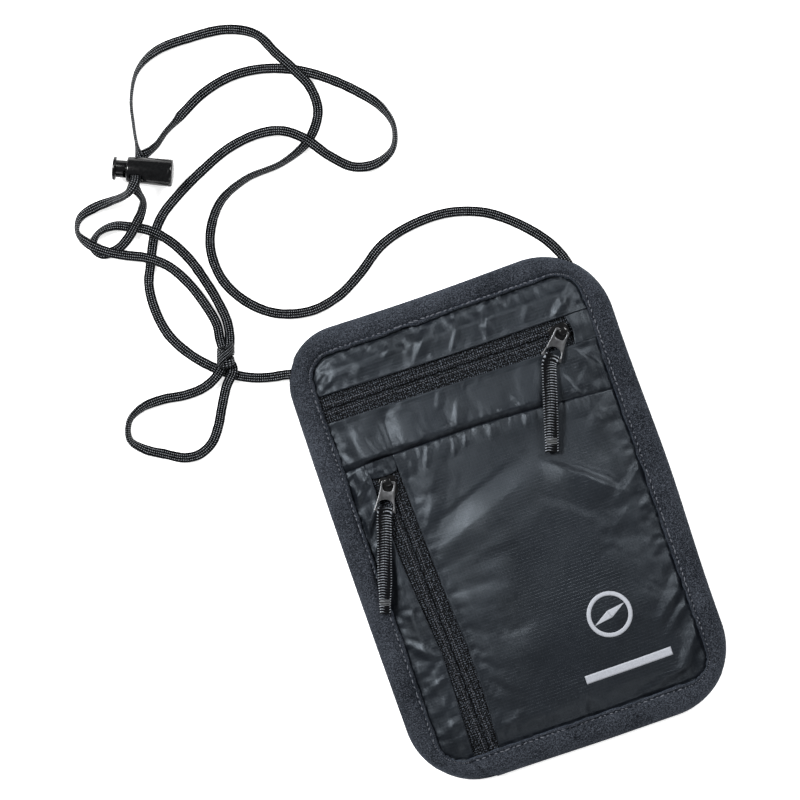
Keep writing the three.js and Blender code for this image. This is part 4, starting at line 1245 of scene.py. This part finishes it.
for key, z in ZIPS.items():
    body = f"{key}_slider"
    for sign, side in zip((1, -1), z["names"]):
        tape = zip_tape(f"{key}_tape_{side}", z, sign)
        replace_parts(tape, f"{key}_zip_tape_{side}", f"{key}_zip_coil_{side}")
        tape_stitches(f"{key}_tape_seam_{side}", z, sign * 1.65, 1.05)
    zip_teeth(f"{key}_teeth", z)
    top = slider(f"{key}_slider", z, body)
    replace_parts(top, f"{key}_zip_slider")
    tab = pull_tab(f"{key}_tab", z, f"{key}_pull_tab")
    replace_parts(tab, f"{key}_zip_pull_tab")
    length = z["length"]
    if key == "top":
        rise = lambda t: 2.75 * smoothstep(t, 0.0, 0.62) - 0.35 * smoothstep(t, 0.7, 1.0)
    else:
        rise = lambda t: 0.35 * math.sin(math.pi * t) - 0.1 * t
    made, at = strap(f"{key}_strap", z, f"{key}_pull_strap", length, rise, 0.7 if key == "side" else 0.2)
    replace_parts(made, f"{key}_zip_pull_strap")
    bar_tack(f"{key}_strap_tack", tab_frame(z), at, f"{key}_pull_strap", length - 5.6, length - 3.4,
             lambda r: 0.68 + rise(r / length))

# ------------------------------------------------------------------ tabs at the zip ends


def patch(name, outline_rows, heights, sides, node):
    """A small fabric tab from rows of plan points, hemmed along some of its sides."""
    rows, cols = len(outline_rows), len(outline_rows[0])
    verts = []
    for r, row in enumerate(outline_rows):
        for c, (x, y) in enumerate(row):
            x, y = hold_in(x, y)
            verts.append((x, y, heights(x, y, r / (rows - 1), c / (cols - 1))))
    faces = grid_faces(rows, cols)
    fold_hems(verts, faces, rows, cols, sides, ((-0.16, -0.1), (-0.4, 0.0), (-0.5, 0.5)))
    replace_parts(piece(name, verts, faces, "shell", "pouch"), node)


def end_tab():
    """The fabric over the closed end of the top zip."""
    rows = []
    for r in range(25):
        t = r / 24
        y = 53.75 + (64.75 - 53.75) * t
        left = 44.3 + 0.9 * math.sin(math.pi * t) + 0.4 * noise.noise((t * 3, 1, 1))
        rows.append([(left + (60 - left) * c / 30, y + 0.25 * noise.noise((c * 0.2, t, 2))) for c in range(31)])

    def high(x, y, t, s):
        z = lying(x, y) + 0.42 + 0.5 * math.sin(math.pi * t) * math.exp(-(((s - 0.28) / 0.3) ** 2))
        z += 0.35 * noise.noise((x * 0.3, y * 0.22, 8.0)) * smoothstep(inside(x, y), 0, 4)
        return min(z, 2.8) if inside(x, y) < 0.3 else z

    return patch("top_end_tab", rows, high, ("left",), "top_zip_end_tab")


def garage_tab():
    """The crumpled square of fabric over the top end of the side zip."""
    rows = []
    for r in range(21):
        t = r / 20
        y = 31.0 + (36.7 - 31.0) * t
        belly = 0.5 * math.sin(math.pi * t)
        left, right = -44.9 - belly + 0.8 * (1 - t), -33.6 + 0.4 * belly - 0.3 * (1 - t)
        dip = 0.7 * (1 - t)
        rows.append([(left + (right - left) * c / 24, y - dip * math.sin(math.pi * c / 24)) for c in range(25)])

    def high(x, y, t, s):
        arch = math.sin(math.pi * min(1, max(0, s))) ** 0.6
        crumple = 0.0
        for at, lean, tall, wide in ((0.2, 0.22, 0.75, 0.10), (0.48, -0.18, 0.6, 0.09), (0.78, -0.12, 0.5, 0.08)):
            off = (s - at - lean * (t - 0.5)) / wide
            crumple += tall * max(0.0, 1 - (abs(off) if off < 0 else off * 0.6))
        rough = 0.3 * noise.noise((x * 0.5, y * 0.5, 1.0))
        return 5.0 + 1.15 * arch * (0.55 + 0.45 * t) + crumple * 0.8 * arch + rough

    return patch("side_garage_tab", rows, high, ("low", "left", "right"), "side_zip_garage_tab")


end_tab()
garage_tab()

# ------------------------------------------------------------------ reflective mark: ring, needle and a plain bar


def drape_print(name, sheets, node):
    """Flat patches of points laid on the main panel."""
    mesh = shells["main"].data
    tree = BVHTree.FromPolygons([v.co[:] for v in mesh.vertices], [p.vertices[:] for p in mesh.polygons])
    verts, faces = [], []
    for rows, closed in sheets:
        base, cols = len(verts), len(rows[0])
        for row in rows:
            for x, y in row:
                hit = tree.ray_cast(Vector((x * MM, y * MM, 0.05)), Vector((0, 0, -1)))
                z = hit[0].z / MM if hit[0] else 8.9
                verts.append((x, y, z + 0.07))
        faces += grid_faces(len(rows), cols, base=base, closed=closed)
    made = piece(name, verts, faces, "print", "pouch")
    thick = made.modifiers.new("film", "SOLIDIFY")
    thick.thickness = 0.05 * MM
    thick.offset = 1
    settle(made)
    made.data.name = name
    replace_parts(made, node)
    return made


def ring_rows(cx, cy, inner, outer, count=96):
    """Points over a flat ring."""
    return [[(cx + x, cy + y) for x, y in circle(r, count)] for r in np.linspace(outer, inner, 4)]


def quad_rows(a, b, c, d, rows, cols):
    """Points over a quadrilateral a-b-c-d, a to b along the first row."""
    out = []
    for r in range(rows + 1):
        t = r / rows
        p, q = Vector(a).lerp(Vector(d), t), Vector(b).lerp(Vector(c), t)
        out.append([tuple(p.lerp(q, s / cols)) for s in range(cols + 1)])
    return out


MARK = (23.3, -45.5)  # the middle of the ring


def needle_half(sign):
    """Half of the needle, from its middle to one tip."""
    x, y = MARK
    tip = (x + sign * 6.6, y + sign * 2.4)
    blunt = (tip[0] - 0.01, tip[1] + 0.01)
    left, right = (x - 0.55, y + 1.5), (x + 0.55, y - 1.5)
    corners = (left, right, tip, blunt) if sign < 0 else (right, left, blunt, tip)
    return quad_rows(*corners, 10, 5)


drape_print("print_compass", [(ring_rows(*MARK, 7.0, 8.6), True), (needle_half(1), False), (needle_half(-1), False)],
            "reflective_mark")
bars = [(quad_rows((7, -67.8), (41, -67.8), (41, -64.6), (7, -64.6), 5, 50), False)]
drape_print("print_bar", bars, "reflective_bar")

# ------------------------------------------------------------------ back panel and divider


def back_sheet(pitch=1.5):
    """The plain back panel, slightly puckered along the binding."""
    cols, rows = int(122 / pitch), int(177 / pitch)
    verts = []
    for r in range(rows + 1):
        for c in range(cols + 1):
            x, y = -61 + 122 * c / cols, -88.5 + 177 * r / rows
            free = max(0.0, inside(x, y))
            x, y = hold_in(x, y, 1.6)
            pucker = 0.25 * noise.noise((x * 0.22, y * 0.22, 3.3)) + 0.12 * noise.noise((x * 0.7, y * 0.7, 1.3))
            edge = 0.35 * math.exp(-(((free - 3) / 3) ** 2)) * noise.noise((x * 0.5, y * 0.5, 7.7))
            z = 0.92 - smoothstep(free, 0, 6) * (0.42 + pucker * 0.8 + edge)
            verts.append((x, y, max(0.12, z)))
    made = piece("shell_back", verts, grid_faces(rows + 1, cols + 1, flip=True), "shell", "pouch")
    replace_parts(made, "back_panel")


back_sheet()
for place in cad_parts["inner_divider"].material_slots:
    place.material = MAT["lining"]

# ------------------------------------------------------------------ knot


def knot():
    """Both strands wound round themselves and drawn up: flat wraps with one strand slanting over the others."""
    centre = Vector((-80.4, 92.6, 3.35))
    turn = Matrix.Rotation(math.radians(-104), 3, "Z")
    wide = 1.7
    section = braid_section(20, wide, 0.62)

    def ribbon(name, points):
        rows = []
        for i, p in enumerate(points):
            tangent = (points[min(i + 1, len(points) - 1)] - points[max(i - 1, 0)]).normalized()
            side = tangent.cross(Vector((0, p.y, p.z)).normalized()).normalized()
            out = side.cross(tangent)
            rows.append([tuple(centre + turn @ (p + side * a + out * b)) for a, b in section])
        verts, faces = loft(rows)
        made = piece(name, verts, faces, "cord", "pouch")
        weave_map(made, np.arange(len(points)) * 0.55, [x / wide for x, _ in section], "cord")
        return made

    wraps, over = [], []
    for k in range(53):
        t = k / 52
        a = 2 * math.pi * (2.6 * t) - 0.6
        radius = 1.9 + 0.55 * math.sin(math.pi * t)
        along = -3.0 + 6.0 * t + 0.9 * math.sin(a * 0.5 + 1)
        wraps.append(Vector((along, radius * math.cos(a) * 1.15, radius * math.sin(a) * 0.95)))
    for k in range(29):
        t = k / 28
        a = math.pi * (0.05 + 0.9 * t)
        over.append(Vector((-3.4 + 6.8 * t, 2.9 * math.cos(a), 0.4 + 2.35 * math.sin(a))))
    made = [ribbon("knot_wraps", wraps), ribbon("knot_over", over)]
    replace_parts(made[0], "cord_knot")
    return made


knot_pieces = knot()

# ------------------------------------------------------------------ cord lock
lock_place = Matrix.Translation(LOCK * MM) @ Matrix.Rotation(LOCK_TURN, 4, "Z")


def turned(name, profile, sides=72):
    """A solid turned about the lock's axis from (along, radius) points."""
    verts, faces = loft([[(a, y, z) for y, z in circle(r, sides)] for a, r in profile])
    return face_outward(piece(name, verts, [f[::-1] for f in faces], "lock", None))


def slanted_cutter(a0, a1, high, flare):
    """A hole along the cords' way through the lock, opening a little towards both mouths."""
    rot = Matrix.Rotation(SLANT, 3, "X")
    rows = []
    for s, grow in ((-12, flare), (-5.6, flare), (-3.6, 0), (3.6, 0), (5.6, flare), (12, flare)):
        near, far, reach = a0 - grow, a1 + grow, high + grow
        loop = rounded([(near, -reach), (far, -reach), (far, reach), (near, reach)], 0.7, 3)
        rows.append([tuple(rot @ Vector((x, y, s))) for x, y in loop])
    verts, faces = loft(rows)
    return face_outward(piece("cutter", verts, faces, "lock", None))


def drill(made, cutter, body):
    """Cuts the cords' hole through a part of the lock, softens its edges and puts it in place."""
    hole = made.modifiers.new("hole", "BOOLEAN")
    hole.operation = "DIFFERENCE"
    hole.solver = "EXACT"
    hole.object = cutter
    settle(made)
    bpy.data.objects.remove(cutter)
    edge = made.modifiers.new("edge", "BEVEL")
    edge.width = 0.12 * MM
    edge.segments = 2
    edge.limit_method = "ANGLE"
    edge.angle_limit = math.radians(40)
    settle(made)
    made.data.transform(lock_place)
    shade_by_angle(made, 38)
    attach(made, body)


barrel = turned(
    "lock_barrel",
    [(12.2, 0.02), (12.2, 3.6), (-3.7, 3.6), (-3.7, 4.55), (-3.45, 4.85), (-3.0, 4.95), (4.0, 4.98), (11.4, 5.18),
     (11.75, 5.12), (11.95, 5.2), (12.9, 5.12), (13.25, 4.8), (13.4, 4.2), (13.4, 0.02)],
)
drill(barrel, slanted_cutter(-2.1, 2.1, 1.6, 0.35), "cord_lock")
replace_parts(barrel, "cord_lock_barrel")
button = turned(
    "lock_button",
    [(4.0, 0.02), (4.0, 3.1), (3.8, 3.3), (-7.6, 3.3), (-7.75, 3.4), (-7.8, 4.3), (-7.95, 4.45), (-8.7, 4.45),
     (-8.9, 4.3), (-9.0, 3.9), (-8.75, 3.2), (-8.7, 0.02)],
)
drill(button, slanted_cutter(-5.0, 2.2, 1.6, 0.0), "lock_button")
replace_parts(button, "cord_lock_button")


def lock_spring(first=4.5, last=11.7, radius=2.5, wire=0.35, turns=4.5):
    """The coil spring between button and barrel, built at a single length; the real one shortens as the button is
    pressed.
    """
    steps = int(turns * 32)
    rows = []
    for i in range(steps + 1):
        t = i / steps
        a = 2 * math.pi * turns * t
        out = Vector((0, math.cos(a), math.sin(a)))
        centre = Vector((first + (last - first) * t, 0, 0)) + out * radius
        rows.append([tuple(centre + out * p + Vector((q, 0, 0))) for p, q in circle(wire, 10)])
    verts, faces = loft(rows)
    made = piece("lock_spring", verts, faces, "wire", "cord_lock")
    made.data.transform(lock_place)
    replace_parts(made, "cord_lock_spring")
    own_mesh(made)
    return made


spring = lock_spring()

# ------------------------------------------------------------------ stage
floor_mesh = bpy.data.meshes.new("floor")
floor_mesh.from_pydata([(-4, -4, -0.0002), (4, -4, -0.0002), (4, 4, -0.0002), (-4, 4, -0.0002)], [], [(0, 1, 2, 3)])
floor = link("floor", floor_mesh)
floor_look = Nodes("floor_paper")
floor_look.set(Base_Color=(0.93, 0.93, 0.93), Roughness=0.9, Specular_IOR_Level=0.1,
               Emission_Color=(1.0, 1.0, 1.0), Emission_Strength=0.7)
floor_mesh.materials.append(floor_look.material)

world = bpy.data.worlds.new("studio")
bpy.context.scene.world = world
world.use_nodes = True
background = world.node_tree.nodes["Background"].inputs
background["Color"].default_value = (1, 1, 1, 1)
background["Strength"].default_value = 0.2


def softbox(name, place, aim, size, watts):
    """A rectangular light that faces a point."""
    light = bpy.data.lights.new(name, "AREA")
    light.shape = "RECTANGLE"
    light.size, light.size_y = size
    light.energy = watts
    made = link(name, light)
    made.location = place
    made.rotation_euler = (Vector(aim) - Vector(place)).to_track_quat("-Z", "Y").to_euler()


softbox("key", (-0.7, 0.64, 1.05), (-0.02, 0.04, 0), (0.42, 0.34), 24)
softbox("side", (0.85, 0.45, 0.8), (0, 0, 0), (0.4, 0.4), 9)
softbox("front", (0.05, -1.0, 0.6), (0, 0, 0), (0.8, 0.3), 1.8)
bpy.context.scene.view_settings.view_transform = "Standard"
